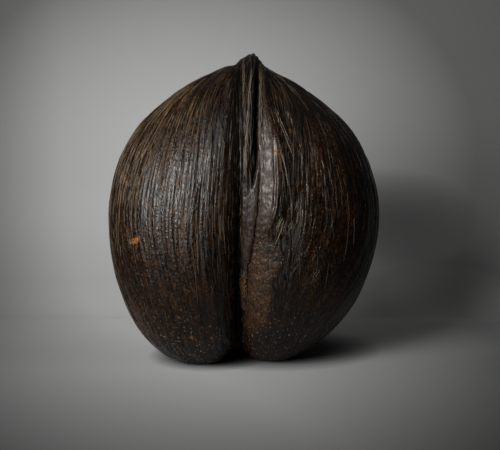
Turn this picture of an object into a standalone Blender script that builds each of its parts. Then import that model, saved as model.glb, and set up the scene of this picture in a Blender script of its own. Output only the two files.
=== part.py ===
# Coco de mer: the two-lobed seed of the double coconut palm, standing on the ends of its lobes.
#
# Units are metres. +X is right, +Y is back and +Z is up, seen from the front, the side of the keel.
# The origin is on the surface that the nut stands on, under the middle of its bounding box.
#
# The nut grew as one piece, so it is one solid. Rays go out from a point inside it, and each one
# ends where it leaves the lobes. The fibre ribs run from the tip, down the lobes and up into the
# crotch between them, and so do the columns of the mesh: the furrows between ribs are sunk columns.

import bpy
import numpy as np

# Driving dimensions.
HALF_DEPTH_FRONT = 0.089
HALF_DEPTH_BACK = 0.083
FULLNESS = 2.15          # exponent of the lobes' section: 2 is an ellipse, more is squarer
LOBE_BLEND = 16.0        # how sharply one lobe gives way to the other: more is a sharper cleft
RIB_HEIGHT = 0.0017      # from the mean surface down to the floor of a strong furrow
MIDDLE = (-0.005, 0.0, 0.137)   # where the rays start, on the line of the cleft
RAY_REACH = 0.2          # longer than any ray's way out of the nut
TIP_LEAN = 0.075         # the tip stands to the right of the cleft, as a share of its height

# Each lobe as it would look from the front if the other weren't there. The outer side is the
# nut's own outline, and the inner side says how deep the cleft is at that height.
LEFT_LOBE = {
    "centre": (-0.045, 0.137),
    "forward": 0.006,
    "outline": (
        (0.000, 0.2860), (-0.036, 0.2765), (-0.073, 0.2540), (-0.104, 0.2240), (-0.1208, 0.192),
        (-0.1290, 0.1540), (-0.1285, 0.115), (-0.1195, 0.070), (-0.1000, 0.0302), (-0.0768, 0.0078),
        (-0.0480, -0.0024), (-0.0240, 0.0030), (-0.0100, 0.0185), (0.0010, 0.0400),
        (0.0120, 0.0720), (0.0240, 0.1070), (0.0350, 0.1470), (0.0420, 0.1920),
        (0.0390, 0.2420), (0.0240, 0.2730),
    ),
}
RIGHT_LOBE = {
    "centre": (0.042, 0.137),
    "forward": -0.006,
    "outline": (
        (0.006, 0.2865), (0.0350, 0.2768), (0.0705, 0.2550), (0.1035, 0.2245), (0.1212, 0.192),
        (0.1308, 0.1520), (0.1298, 0.122), (0.1206, 0.085), (0.1012, 0.0460), (0.0690, 0.0150),
        (0.0290, -0.0022), (0.0090, 0.0035), (-0.0040, 0.0185), (-0.0140, 0.0400),
        (-0.0260, 0.0770), (-0.0370, 0.1120), (-0.0460, 0.1520), (-0.0500, 0.1970),
        (-0.0430, 0.2420), (-0.0240, 0.2730),
    ),
}

# Ridges and furrows that run down the front, each as stations from the top to the bottom:
# height of the station, how far it is to the right, half width, and how far it stands out.
FRONT_LINES = {
    "cleft": (
        (0.283, -0.0040, 0.004, -0.001), (0.240, -0.0040, 0.005, -0.005),
        (0.200, -0.0045, 0.006, -0.006), (0.150, -0.0050, 0.006, -0.007),
        (0.110, -0.0065, 0.006, -0.010), (0.070, -0.0070, 0.006, -0.012),
        (0.040, -0.0070, 0.005, -0.010), (0.024, -0.0070, 0.004, 0.000),
    ),
    "keel left strand": (
        (0.287, 0.0010, 0.0032, 0.0025), (0.268, 0.0010, 0.0032, 0.0050),
        (0.205, 0.0005, 0.0034, 0.0030), (0.180, 0.0000, 0.0040, 0.0000),
    ),
    "keel right strand": (
        (0.287, 0.0070, 0.0032, 0.0030), (0.268, 0.0068, 0.0030, 0.0065),
        (0.205, 0.0050, 0.0032, 0.0050), (0.175, 0.0030, 0.0040, 0.0000),
    ),
    "groove beside the keel": (
        (0.284, 0.0130, 0.0026, -0.0010), (0.264, 0.0122, 0.0026, -0.0080),
        (0.200, 0.0104, 0.0024, -0.0075), (0.180, 0.0080, 0.0020, -0.0030),
        (0.168, 0.0065, 0.0020, 0.0000),
    ),
    "strip under the keel": (
        (0.200, 0.0030, 0.0060, 0.0000), (0.178, 0.0035, 0.0070, 0.0040),
        (0.140, 0.0030, 0.0070, 0.0050), (0.110, 0.0000, 0.0050, 0.0045),
        (0.088, -0.0010, 0.0035, 0.0000),
    ),
    "smooth lip": (
        (0.284, 0.0175, 0.0036, 0.0010), (0.260, 0.0178, 0.0036, 0.0030),
        (0.205, 0.0220, 0.0080, 0.0040), (0.170, 0.0240, 0.0090, 0.0050),
        (0.150, 0.0220, 0.0080, 0.0035), (0.125, 0.0180, 0.0070, 0.0000),
    ),
    "crack": (
        (0.200, 0.0165, 0.0022, 0.0000), (0.182, 0.0158, 0.0022, -0.0036),
        (0.150, 0.0132, 0.0022, -0.0044), (0.120, 0.0095, 0.0022, -0.0042),
        (0.090, 0.0044, 0.0022, -0.0036), (0.070, 0.0030, 0.0022, 0.0000),
    ),
    "fibre tuft": (
        (0.093, -0.0020, 0.0030, 0.0000), (0.083, -0.0015, 0.0034, 0.0040),
        (0.060, -0.0020, 0.0034, 0.0030), (0.040, -0.0030, 0.0030, 0.0000),
    ),
}
BACK_LINES = {
    "seam ridge": (
        (0.290, 0.0050, 0.0050, 0.0045), (0.240, 0.0010, 0.0050, 0.0035),
        (0.195, -0.0030, 0.0060, 0.0000),
    ),
    "crease": (
        (0.215, -0.0030, 0.0040, 0.0000), (0.160, -0.0040, 0.0045, -0.0040),
        (0.100, -0.0060, 0.0050, -0.0080), (0.050, -0.0070, 0.0050, -0.0100),
        (0.024, -0.0070, 0.0040, 0.0000),
    ),
}
FACE_FADE = (0.004, 0.016)   # how far forward or back of the middle the lines fade in

# The knob at the tip, and the strands that pass over it: how far right, half width and height.
CREST_STRANDS = (
    (0.0070, 0.0105, 0.0052), (-0.0055, 0.0035, 0.0020), (0.0010, 0.0035, 0.0020),
    (0.0070, 0.0038, 0.0045), (0.0145, 0.0035, 0.0012),
)
CREST_HALF_LENGTH = 0.021

# The ribs. Angles are in degrees, away from the cleft or down from the tip.
RIB_SEED = 11
RIB_STEPS = (2, 3, 3, 4)         # columns from one furrow to the next, drawn from these
RIB_STATIONS = 6                 # along a furrow, places where its depth changes
FURROW_DEPTHS = (0.35, 1.15)     # shares of the rib height that a furrow's depth is drawn from
CREST_HEIGHTS = (0.0, 0.35)      # and those that a column between furrows stands out by
RIBS_FROM_CLEFT = (10.0, 24.0)   # where they fade in beside the cleft
RIBS_FROM_TIP = (6.0, 44.0)      # where they fade in below the tip
RIBS_TO_CROTCH = (140.0, 166.0)  # and out on the way to the crotch

# The mesh. Rings near the tip and the crotch have fewer columns, where the ribs run together.
# Columns crowd at the cleft, and rings near the tip and the crotch: how much, and how far around.
COLUMNS = 216
FULL_RINGS = 23
FIRST_RING, LAST_RING = np.radians(10.5), np.radians(168.0)
TIP_RINGS = ((1.7, 27), (3.6, 54), (5.8, 108), (8.2, 108))
CROTCH_RINGS = ((171.5, 108), (174.6, 54), (177.4, 27))
FRONT_CROWD, BACK_CROWD = (1.3, 0.36), (0.5, 0.30)
TIP_CROWD, CROTCH_CROWD = (0.6, 0.30), (0.8, 0.42)
WANDER = 0.010               # how far a column strays from its angle, in radians
FAN_LIMIT = 0.5              # how far columns by the cleft spread on the way to the tip
FAN_REACH = (0.09, 0.15)     # half the depth and half the height that the spread is worked out for

SHARP_ANGLE = 20.0
SHELL_COLOUR = (0.030, 0.019, 0.012, 1.0)
SHELL_ROUGHNESS = 0.42


def clear_scene():
    for obj in list(bpy.data.objects):
        bpy.data.objects.remove(obj, do_unlink=True)


def fade(value, start, end):
    """0 up to start, 1 from end, and a smooth step between."""
    share = np.clip((value - start) / (end - start), 0.0, 1.0)
    return share * share * (3.0 - 2.0 * share)


def outline_radius(lobe, angle):
    """How far the lobe's outline is from its centre at an angle: a closed Catmull-Rom curve."""
    across, up = (np.array(lobe["outline"]) - np.array(lobe["centre"])).T
    known = np.arctan2(up, across)
    order = np.argsort(known)
    turn = 2.0 * np.pi
    radius = np.tile(np.hypot(across, up)[order], 3)
    known = np.concatenate([known[order] - turn, known[order], known[order] + turn])
    slope = np.gradient(radius, known)
    before = np.searchsorted(known, angle) - 1
    step = known[before + 1] - known[before]
    t = (angle - known[before]) / step
    return (
        (2 * t**3 - 3 * t**2 + 1) * radius[before]
        + (t**3 - 2 * t**2 + t) * step * slope[before]
        + (3 * t**2 - 2 * t**3) * radius[before + 1]
        + (t**3 - t**2) * step * slope[before + 1]
    )


def lobe_gauge(points, lobe):
    """Under 1 inside the lobe, 1 on its surface and over 1 outside."""
    across = points[:, 0] - lobe["centre"][0]
    up = points[:, 2] - lobe["centre"][1]
    deep = points[:, 1] + lobe["forward"]
    half_depth = np.where(deep < 0.0, HALF_DEPTH_FRONT, HALF_DEPTH_BACK)
    from_front = np.hypot(across, up) / outline_radius(lobe, np.arctan2(up, across))
    return from_front**FULLNESS + np.abs(deep / half_depth) ** FULLNESS


def nut_gauge(points):
    """The lower of the two lobes' gauges, rounded where they meet."""
    left, right = lobe_gauge(points, LEFT_LOBE), lobe_gauge(points, RIGHT_LOBE)
    return -np.log(np.exp(-LOBE_BLEND * left) + np.exp(-LOBE_BLEND * right)) / LOBE_BLEND


def surface_points(directions):
    """Where rays from the nut's middle leave it, found by halving the stretch they lie in."""
    inside = np.zeros(len(directions))
    outside = np.full(len(directions), RAY_REACH)
    for _ in range(30):
        tried = (inside + outside) / 2.0
        within = nut_gauge(MIDDLE + directions * tried[:, None]) < 1.0
        inside = np.where(within, tried, inside)
        outside = np.where(within, outside, tried)
    return MIDDLE + directions * inside[:, None]


def lines_relief(points, lines):
    """How far the ridges and furrows of one face stand out at each point."""
    relief = np.zeros(len(points))
    for stations in lines.values():
        height, right, half_width, rise = np.array(stations)[::-1].T
        middle = np.interp(points[:, 2], height, right)
        width = np.interp(points[:, 2], height, half_width)
        amount = np.interp(points[:, 2], height, rise)
        relief += amount * np.exp(-(((points[:, 0] - middle) / width) ** 2))
    return relief


def crest_relief(points):
    """The knob and the strands that pass over it, highest at the tip itself."""
    lengthwise = np.exp(-((points[:, 1] / CREST_HALF_LENGTH) ** 2)) * (points[:, 2] > MIDDLE[2])
    relief = np.zeros(len(points))
    for right, half_width, rise in CREST_STRANDS:
        relief += rise * np.exp(-(((points[:, 0] - right) / half_width) ** 2))
    return relief * lengthwise


def rib_strength(angle, polar):
    """Ribs are stronger in some places than others, and fade into the cleft, the tip and the crotch."""
    patches = 0.80 + 0.15 * np.sin(5 * angle + 3 * polar) + 0.15 * np.sin(13 * angle - 4 * polar + 1.3)
    from_cleft = np.minimum(np.abs(angle + np.pi / 2), np.abs(angle - np.pi / 2))
    beside = fade(from_cleft, *np.radians(RIBS_FROM_CLEFT))
    ends = fade(polar, *np.radians(RIBS_FROM_TIP)) * (1.0 - fade(polar, *np.radians(RIBS_TO_CROTCH)))
    return patches * beside * ends


def rib_heights(rings):
    """A share of the rib height for each ring and column: ribs stand, and furrows come and go."""
    random = np.random.default_rng(RIB_SEED)
    furrows = np.cumsum(random.choice(RIB_STEPS, COLUMNS))
    furrows = furrows[furrows < COLUMNS]
    stations = random.uniform(*FURROW_DEPTHS, (len(furrows), RIB_STATIONS))
    along = np.linspace(0.0, RIB_STATIONS - 1.0, rings)
    heights = np.tile(random.uniform(*CREST_HEIGHTS, COLUMNS), (rings, 1))
    for furrow, depths in zip(furrows, stations):
        heights[:, furrow] = -np.interp(along, np.arange(RIB_STATIONS), depths)
    return heights


def crowded(start, end, crowd, shares):
    """Values from start to end at these shares of the way, closer together where crowd is higher."""
    value = np.linspace(start, end, len(crowd))
    passed = np.concatenate([[0.0], np.cumsum((crowd[1:] + crowd[:-1]) / 2.0)])
    return np.interp(shares, passed / passed[-1], value)


def column_angles():
    """Angles round the nut, crowded at the cleft on the front and, less, on the back."""
    angle = np.linspace(-np.pi, np.pi, 3601)
    crowd = 1.0 + FRONT_CROWD[0] * np.exp(-(((angle + np.pi / 2) / FRONT_CROWD[1]) ** 4))
    crowd += BACK_CROWD[0] * np.exp(-(((angle - np.pi / 2) / BACK_CROWD[1]) ** 4))
    return crowded(-np.pi, np.pi, crowd, np.arange(COLUMNS) / COLUMNS)


def ring_angles():
    """Angles down from the tip, crowded near the tip and at the ends of the lobes."""
    polar = np.linspace(FIRST_RING, LAST_RING, 1001)
    crowd = 1.0 + TIP_CROWD[0] * np.exp(-(((polar - FIRST_RING) / TIP_CROWD[1]) ** 2))
    crowd += CROTCH_CROWD[0] * np.exp(-(((polar - LAST_RING) / CROTCH_CROWD[1]) ** 2))
    return crowded(FIRST_RING, LAST_RING, crowd, np.linspace(0.0, 1.0, FULL_RINGS))


def column_fan(polar):
    """How much wider apart columns by the cleft are than at the middle, so that they run beside it."""
    half_depth, half_height = FAN_REACH
    gauge = (np.sin(polar) / half_depth) ** FULLNESS + (np.abs(np.cos(polar)) / half_height) ** FULLNESS
    to_axis = max(np.sin(polar) * gauge ** (-1.0 / FULLNESS), 0.001)
    return FAN_LIMIT * np.tanh((half_depth / to_axis - 1.0) / FAN_LIMIT)


def ring_points(polar, angle, ribs):
    """One ring of the mesh, with its relief and its ribs."""
    wander = WANDER * np.sin(3.0 * polar + 7.0 * angle) * np.sin(polar)
    angle = angle + wander - column_fan(polar) / 2.0 * np.sin(2.0 * angle)
    across = np.sin(polar) * np.cos(angle) + TIP_LEAN * max(np.cos(polar), 0.0) ** 2
    deep = np.sin(polar) * np.sin(angle)
    directions = np.stack([across, deep, np.full(len(angle), np.cos(polar))], axis=1)
    directions /= np.linalg.norm(directions, axis=1)[:, None]
    points = surface_points(directions)
    front = fade(-points[:, 1], *FACE_FADE)
    back = fade(points[:, 1], *FACE_FADE)
    relief = front * lines_relief(points, FRONT_LINES) + back * lines_relief(points, BACK_LINES)
    relief += crest_relief(points)
    relief += RIB_HEIGHT * ribs * rib_strength(angle, polar)
    return points + directions * relief[:, None]


def join_rings(first, first_count, second, second_count):
    """Triangles between a ring and the next one down, which has as many, half or twice the points."""
    faces = []
    if first_count == second_count:
        for i in range(first_count):
            j = (i + 1) % first_count
            faces += [(first + i, second + i, second + j), (first + i, second + j, first + j)]
    elif second_count == 2 * first_count:
        for i in range(first_count):
            a, b = first + i, first + (i + 1) % first_count
            c, d, e = (second + (2 * i + k) % second_count for k in range(3))
            faces += [(a, c, d), (a, d, b), (b, d, e)]
    else:
        for i in range(second_count):
            a, b = second + i, second + (i + 1) % second_count
            c, d, e = (first + (2 * i + k) % first_count for k in range(3))
            faces += [(a, d, c), (a, b, d), (b, e, d)]
    return faces


def nut_mesh():
    """The whole skin, from a point at the tip, ring by ring, to a point in the crotch."""
    rings = [(np.radians(polar), count) for polar, count in TIP_RINGS]
    rings += [(polar, COLUMNS) for polar in ring_angles()]
    rings += [(np.radians(polar), count) for polar, count in CROTCH_RINGS]
    every_angle = column_angles()
    every_rib = rib_heights(len(rings))
    layers = [ring_points(0.0, np.zeros(1), np.zeros(1))]
    faces, start = [], 1
    for number, (polar, count) in enumerate(rings):
        kept = slice(None, None, COLUMNS // count)
        layers.append(ring_points(polar, every_angle[kept], every_rib[number][kept]))
        if number:
            before = rings[number - 1][1]
            faces += join_rings(start - before, before, start, count)
        start += count
    layers.append(ring_points(np.pi, np.zeros(1), np.zeros(1)))
    first, last = rings[0][1], rings[-1][1]
    faces += [(0, 1 + i, 1 + (i + 1) % first) for i in range(first)]
    faces += [(start, start - last + (i + 1) % last, start - last + i) for i in range(last)]
    return np.concatenate(layers), faces


def stand_on_ground(points):
    """Flattens the ends of the lobes at the ground, and centres the nut over the origin."""
    points[:, 2] = np.maximum(points[:, 2], 0.0)
    points[:, :2] -= (points[:, :2].min(axis=0) + points[:, :2].max(axis=0)) / 2.0
    return points


def shell_material():
    material = bpy.data.materials.new("shell")
    material.use_nodes = True
    shader = material.node_tree.nodes["Principled BSDF"]
    shader.inputs["Base Color"].default_value = SHELL_COLOUR
    shader.inputs["Roughness"].default_value = SHELL_ROUGHNESS
    shader.inputs["Metallic"].default_value = 0.0
    return material


def make_nut():
    points, faces = nut_mesh()
    mesh = bpy.data.meshes.new("nut")
    mesh.from_pydata(stand_on_ground(points).tolist(), [], faces)
    mesh.update()
    mesh.shade_smooth()
    mesh.set_sharp_from_angle(angle=np.radians(SHARP_ANGLE))
    mesh.materials.append(shell_material())
    nut = bpy.data.objects.new("nut", mesh)
    bpy.context.scene.collection.objects.link(nut)


clear_scene()
make_nut()
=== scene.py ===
import bpy
import numpy as np
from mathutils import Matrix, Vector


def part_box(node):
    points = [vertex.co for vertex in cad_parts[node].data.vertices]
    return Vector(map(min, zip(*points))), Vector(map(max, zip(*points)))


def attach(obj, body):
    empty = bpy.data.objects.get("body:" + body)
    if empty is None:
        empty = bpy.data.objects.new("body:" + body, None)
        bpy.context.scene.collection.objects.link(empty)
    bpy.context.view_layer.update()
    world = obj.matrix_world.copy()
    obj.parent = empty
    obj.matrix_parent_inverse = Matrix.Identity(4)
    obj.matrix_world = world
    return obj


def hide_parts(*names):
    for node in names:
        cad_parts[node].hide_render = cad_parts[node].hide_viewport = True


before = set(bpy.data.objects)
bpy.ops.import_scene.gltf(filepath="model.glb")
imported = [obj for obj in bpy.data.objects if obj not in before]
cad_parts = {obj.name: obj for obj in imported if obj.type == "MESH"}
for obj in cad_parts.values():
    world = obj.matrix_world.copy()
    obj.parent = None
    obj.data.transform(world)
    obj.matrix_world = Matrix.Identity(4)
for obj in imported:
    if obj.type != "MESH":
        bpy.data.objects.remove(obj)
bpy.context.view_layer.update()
nutLow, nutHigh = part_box("nut")
print("frame loaded, nut", [round(h - l, 4) for l, h in zip(nutLow, nutHigh)])


# The camera stands where the photograph was taken from.
cameraPlace = {"aim": (0.0053, 0.0, 0.1325), "distance": 1.345, "elevation": 6.5, "lens": 100.0}


def addCamera(place):
    # stands at aim + distance * (0, -cos e, sin e) and looks along the line back to aim
    tilt = np.radians(place["elevation"])
    camera = bpy.data.objects.new("camera", bpy.data.cameras.new("camera"))
    camera.data.lens = place["lens"]
    camera.data.sensor_width = 36.0
    camera.data.clip_start = 0.05
    camera.data.clip_end = 20.0
    aim = np.array(place["aim"])
    camera.location = aim + place["distance"] * np.array([0.0, -np.cos(tilt), np.sin(tilt)])
    camera.rotation_euler = (np.pi / 2.0 - tilt, 0.0, 0.0)
    bpy.context.scene.collection.objects.link(camera)
    bpy.context.scene.camera = camera


addCamera(cameraPlace)
print("camera placed")


# The nut's main shapes, as in the CAD but with a narrower crotch, groove and crack, and a broader lip
# that has a rim and a gutter. Each lobe is drawn as it would look from the front if the other weren't
# there, and its inner side says how deep the cleft is.
nutShape = {
    "halfDepthFront": 0.089,
    "halfDepthBack": 0.083,
    "fullness": 2.15,            # exponent of the lobes' section: 2 is an ellipse, more is squarer
    "lobeBlend": 16.0,           # how sharply one lobe gives way to the other
    "middle": (-0.005, 0.0, 0.137),  # where the rays start, on the line of the cleft
    "rayReach": 0.2,             # longer than any ray's way out of the nut
    "tipLean": 0.075,            # how far right the tip stands, as a share of its height
    "faceFade": (0.004, 0.016),  # how far forward or back of the middle the lines fade in
    "leftLobe": {
        "centre": (-0.045, 0.137),
        "forward": 0.006,
        "outline": (
            (0.000, 0.2860), (-0.036, 0.2765), (-0.073, 0.2540), (-0.104, 0.2240),
            (-0.1208, 0.192), (-0.1290, 0.1540), (-0.1285, 0.115), (-0.1195, 0.070),
            (-0.1000, 0.0302), (-0.0768, 0.0078), (-0.0480, -0.0024), (-0.0205, 0.0028),
            (-0.0092, 0.0165), (0.0002, 0.0390), (0.0120, 0.0720), (0.0240, 0.1070),
            (0.0350, 0.1470), (0.0420, 0.1920), (0.0390, 0.2420), (0.0240, 0.2730),
        ),
    },
    "rightLobe": {
        "centre": (0.042, 0.137),
        "forward": -0.006,
        "outline": (
            (0.006, 0.2865), (0.0350, 0.2768), (0.0705, 0.2550), (0.1035, 0.2245),
            (0.1212, 0.192), (0.1308, 0.1520), (0.1298, 0.122), (0.1206, 0.085),
            (0.1012, 0.0460), (0.0690, 0.0150), (0.0290, -0.0022), (0.0062, 0.0033),
            (-0.0048, 0.0168), (-0.0138, 0.0395), (-0.0260, 0.0770), (-0.0370, 0.1120),
            (-0.0460, 0.1520), (-0.0500, 0.1970), (-0.0430, 0.2420), (-0.0240, 0.2730),
        ),
    },
}

# Ridges and furrows down the front and the back, as stations from the top to the bottom: height,
# how far to the right, half width, and how far it stands out.
frontLines = {
    "cleft": (
        (0.283, -0.0040, 0.004, -0.001), (0.240, -0.0040, 0.005, -0.005),
        (0.200, -0.0045, 0.006, -0.006), (0.150, -0.0050, 0.006, -0.007),
        (0.110, -0.0065, 0.006, -0.010), (0.070, -0.0070, 0.006, -0.012),
        (0.040, -0.0070, 0.005, -0.010), (0.024, -0.0070, 0.004, 0.000),
    ),
    "keel left strand": (
        (0.287, 0.0010, 0.0032, 0.0025), (0.268, 0.0010, 0.0032, 0.0050),
        (0.205, 0.0005, 0.0034, 0.0030), (0.180, 0.0000, 0.0040, 0.0000),
    ),
    "keel right strand": (
        (0.287, 0.0070, 0.0032, 0.0030), (0.268, 0.0066, 0.0030, 0.0052),
        (0.205, 0.0046, 0.0032, 0.0042), (0.175, 0.0030, 0.0040, 0.0000),
    ),
    "groove beside the keel": (
        (0.284, 0.0134, 0.0015, -0.0010), (0.264, 0.0124, 0.0016, -0.0040),
        (0.243, 0.0110, 0.0016, -0.0042), (0.209, 0.0118, 0.0016, -0.0044),
        (0.195, 0.0112, 0.0014, -0.0036), (0.182, 0.0092, 0.0013, -0.0018),
        (0.173, 0.0078, 0.0013, 0.0000),
    ),
    "strip under the keel": (
        (0.192, 0.0100, 0.0030, 0.0000), (0.178, 0.0106, 0.0042, 0.0020),
        (0.165, 0.0102, 0.0050, 0.0027), (0.150, 0.0086, 0.0052, 0.0027),
        (0.130, 0.0050, 0.0050, 0.0026), (0.110, 0.0020, 0.0044, 0.0028),
        (0.088, -0.0004, 0.0033, 0.0000),
    ),
    "smooth lip": (
        (0.284, 0.0175, 0.0040, 0.0018), (0.262, 0.0188, 0.0058, 0.0036),
        (0.235, 0.0232, 0.0096, 0.0042), (0.209, 0.0292, 0.0122, 0.0046),
        (0.190, 0.0302, 0.0126, 0.0047), (0.170, 0.0298, 0.0128, 0.0047),
        (0.150, 0.0274, 0.0118, 0.0040), (0.125, 0.0220, 0.0100, 0.0000),
    ),
    "rim of the lip": (
        (0.222, 0.0268, 0.0010, 0.0000), (0.212, 0.0285, 0.0011, 0.0011),
        (0.180, 0.0294, 0.0011, 0.0014), (0.158, 0.0284, 0.0011, 0.0014),
        (0.141, 0.0240, 0.0011, 0.0009), (0.132, 0.0205, 0.0010, 0.0000),
    ),
    "gutter along the rim": (
        (0.215, 0.0262, 0.0009, 0.0000), (0.205, 0.0266, 0.0009, -0.0005),
        (0.180, 0.0273, 0.0009, -0.0007), (0.158, 0.0262, 0.0009, -0.0006),
        (0.141, 0.0218, 0.0009, -0.0004), (0.132, 0.0185, 0.0009, 0.0000),
    ),
    "crack": (
        (0.196, 0.0144, 0.0008, 0.0000), (0.182, 0.0146, 0.0008, -0.0005),
        (0.150, 0.0127, 0.0009, -0.0006), (0.120, 0.0085, 0.0009, -0.0008),
        (0.090, 0.0044, 0.0012, -0.0014), (0.072, 0.0034, 0.0011, -0.0014),
        (0.056, 0.0026, 0.0011, 0.0000),
    ),
    "fibre tuft": (
        (0.096, -0.0002, 0.0026, 0.0000), (0.088, 0.0000, 0.0030, 0.0036),
        (0.074, 0.0000, 0.0028, 0.0034), (0.062, -0.0008, 0.0026, 0.0012),
        (0.036, -0.0020, 0.0026, 0.0000),
    ),
}
backLines = {
    "seam ridge": (
        (0.290, 0.0050, 0.0050, 0.0045), (0.240, 0.0010, 0.0050, 0.0035),
        (0.195, -0.0030, 0.0060, 0.0000),
    ),
    "crease": (
        (0.215, -0.0030, 0.0040, 0.0000), (0.160, -0.0040, 0.0045, -0.0040),
        (0.100, -0.0060, 0.0050, -0.0080), (0.050, -0.0070, 0.0050, -0.0100),
        (0.024, -0.0070, 0.0040, 0.0000),
    ),
}
crestShape = {
    "strands": (                 # how far right, half width and height of each over the tip
        (0.0070, 0.0105, 0.0050), (-0.0095, 0.0035, -0.0024), (-0.0026, 0.0022, 0.0014),
        (0.0030, 0.0036, 0.0024), (0.0090, 0.0038, 0.0034), (0.0145, 0.0035, 0.0010),
    ),
    "halfLength": 0.021,
}


def fade(value, start, end):
    # 0 up to start, 1 from end, and s^2 (3 - 2 s) between
    share = np.clip((value - start) / (end - start), 0.0, 1.0)
    return share * share * (3.0 - 2.0 * share)


def unit(vectors):
    # each vector divided by its length
    return vectors / np.maximum(np.linalg.norm(vectors, axis=-1, keepdims=True), 1e-12)


def outlineRadius(lobe, angle):
    # radius of the lobe's outline at an angle: Hermite curve through the points in polar form
    across, up = (np.array(lobe["outline"]) - np.array(lobe["centre"])).T
    known = np.arctan2(up, across)
    order = np.argsort(known)
    turn = 2.0 * np.pi
    radius = np.tile(np.hypot(across, up)[order], 3)
    known = np.concatenate([known[order] - turn, known[order], known[order] + turn])
    slope = np.gradient(radius, known)
    before = np.searchsorted(known, angle) - 1
    step = known[before + 1] - known[before]
    t = (angle - known[before]) / step
    curve = (2 * t**3 - 3 * t**2 + 1) * radius[before] + (t**3 - 2 * t**2 + t) * step * slope[before]
    curve += (3 * t**2 - 2 * t**3) * radius[before + 1] + (t**3 - t**2) * step * slope[before + 1]
    return curve


def lobeGauge(points, lobe):
    # (distance from the axis / outline radius)^fullness + (depth / half depth)^fullness
    across = points[..., 0] - lobe["centre"][0]
    up = points[..., 2] - lobe["centre"][1]
    deep = points[..., 1] + lobe["forward"]
    halfDepth = np.where(deep < 0.0, nutShape["halfDepthFront"], nutShape["halfDepthBack"])
    fromAxis = np.hypot(across, up) / outlineRadius(lobe, np.arctan2(up, across))
    return fromAxis ** nutShape["fullness"] + np.abs(deep / halfDepth) ** nutShape["fullness"]


def nutGauge(points):
    # soft lower one of the lobes' gauges: -log(exp(-b left) + exp(-b right)) / b
    blend = nutShape["lobeBlend"]
    left = lobeGauge(points, nutShape["leftLobe"])
    right = lobeGauge(points, nutShape["rightLobe"])
    return -np.log(np.exp(-blend * left) + np.exp(-blend * right)) / blend


def surfacePoints(directions):
    # where rays from the middle reach gauge 1, by halving the stretch they lie in
    middle = np.array(nutShape["middle"])
    inside = np.zeros(directions.shape[:-1])
    outside = np.full(directions.shape[:-1], nutShape["rayReach"])
    for _ in range(22):
        tried = (inside + outside) / 2.0
        within = nutGauge(middle + directions * tried[..., None]) < 1.0
        inside = np.where(within, tried, inside)
        outside = np.where(within, outside, tried)
    return middle + directions * inside[..., None]


def linesRelief(points, lines):
    # sum of rise(z) * exp(-((x - right(z)) / halfWidth(z))^2)
    relief = np.zeros(points.shape[:-1])
    for stations in lines.values():
        height, right, halfWidth, rise = np.array(stations)[::-1].T
        middle = np.interp(points[..., 2], height, right)
        width = np.interp(points[..., 2], height, halfWidth)
        amount = np.interp(points[..., 2], height, rise)
        relief += amount * np.exp(-(((points[..., 0] - middle) / width) ** 2))
    return relief


def crestRelief(points):
    # exp(-(y / halfLength)^2) * sum of rise * exp(-((x - right) / halfWidth)^2)
    lengthwise = np.exp(-((points[..., 1] / crestShape["halfLength"]) ** 2))
    relief = np.zeros(points.shape[:-1])
    for right, halfWidth, rise in crestShape["strands"]:
        relief += rise * np.exp(-(((points[..., 0] - right) / halfWidth) ** 2))
    return relief * lengthwise * (points[..., 2] > nutShape["middle"][2])


def mainRelief(points):
    # lines of the front and the back, each faded in away from the middle, and the crest
    front = fade(-points[..., 1], *nutShape["faceFade"])
    back = fade(points[..., 1], *nutShape["faceFade"])
    relief = front * linesRelief(points, frontLines) + back * linesRelief(points, backLines)
    return relief + crestRelief(points)


def noiseField(shape, seed, width, length, band=True):
    # white noise times exp(-(width kx)^2 / 2 - (length ky)^2 / 2), less the same at twice the
    # width if band is true, so that waves about 7.6 widths long stay; scaled to a mean square of 1
    noise = np.random.default_rng(seed).standard_normal(shape)
    down = 2.0 * np.pi * np.fft.fftfreq(shape[0])[:, None]
    across = 2.0 * np.pi * np.fft.rfftfreq(shape[1])[None, :]
    keep = np.exp(-((width * across) ** 2) / 2.0)
    if band:
        keep = keep - np.exp(-((2.0 * width * across) ** 2) / 2.0)
    keep = keep * np.exp(-((length * down) ** 2) / 2.0)
    field = np.fft.irfft2(np.fft.rfft2(noise) * keep, s=shape)
    return field / field.std()


def furrows(field, halfWidth):
    # 1 along the lines where the field passes zero: exp(-(field / halfWidth)^2)
    return np.exp(-((field / halfWidth) ** 2))


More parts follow.
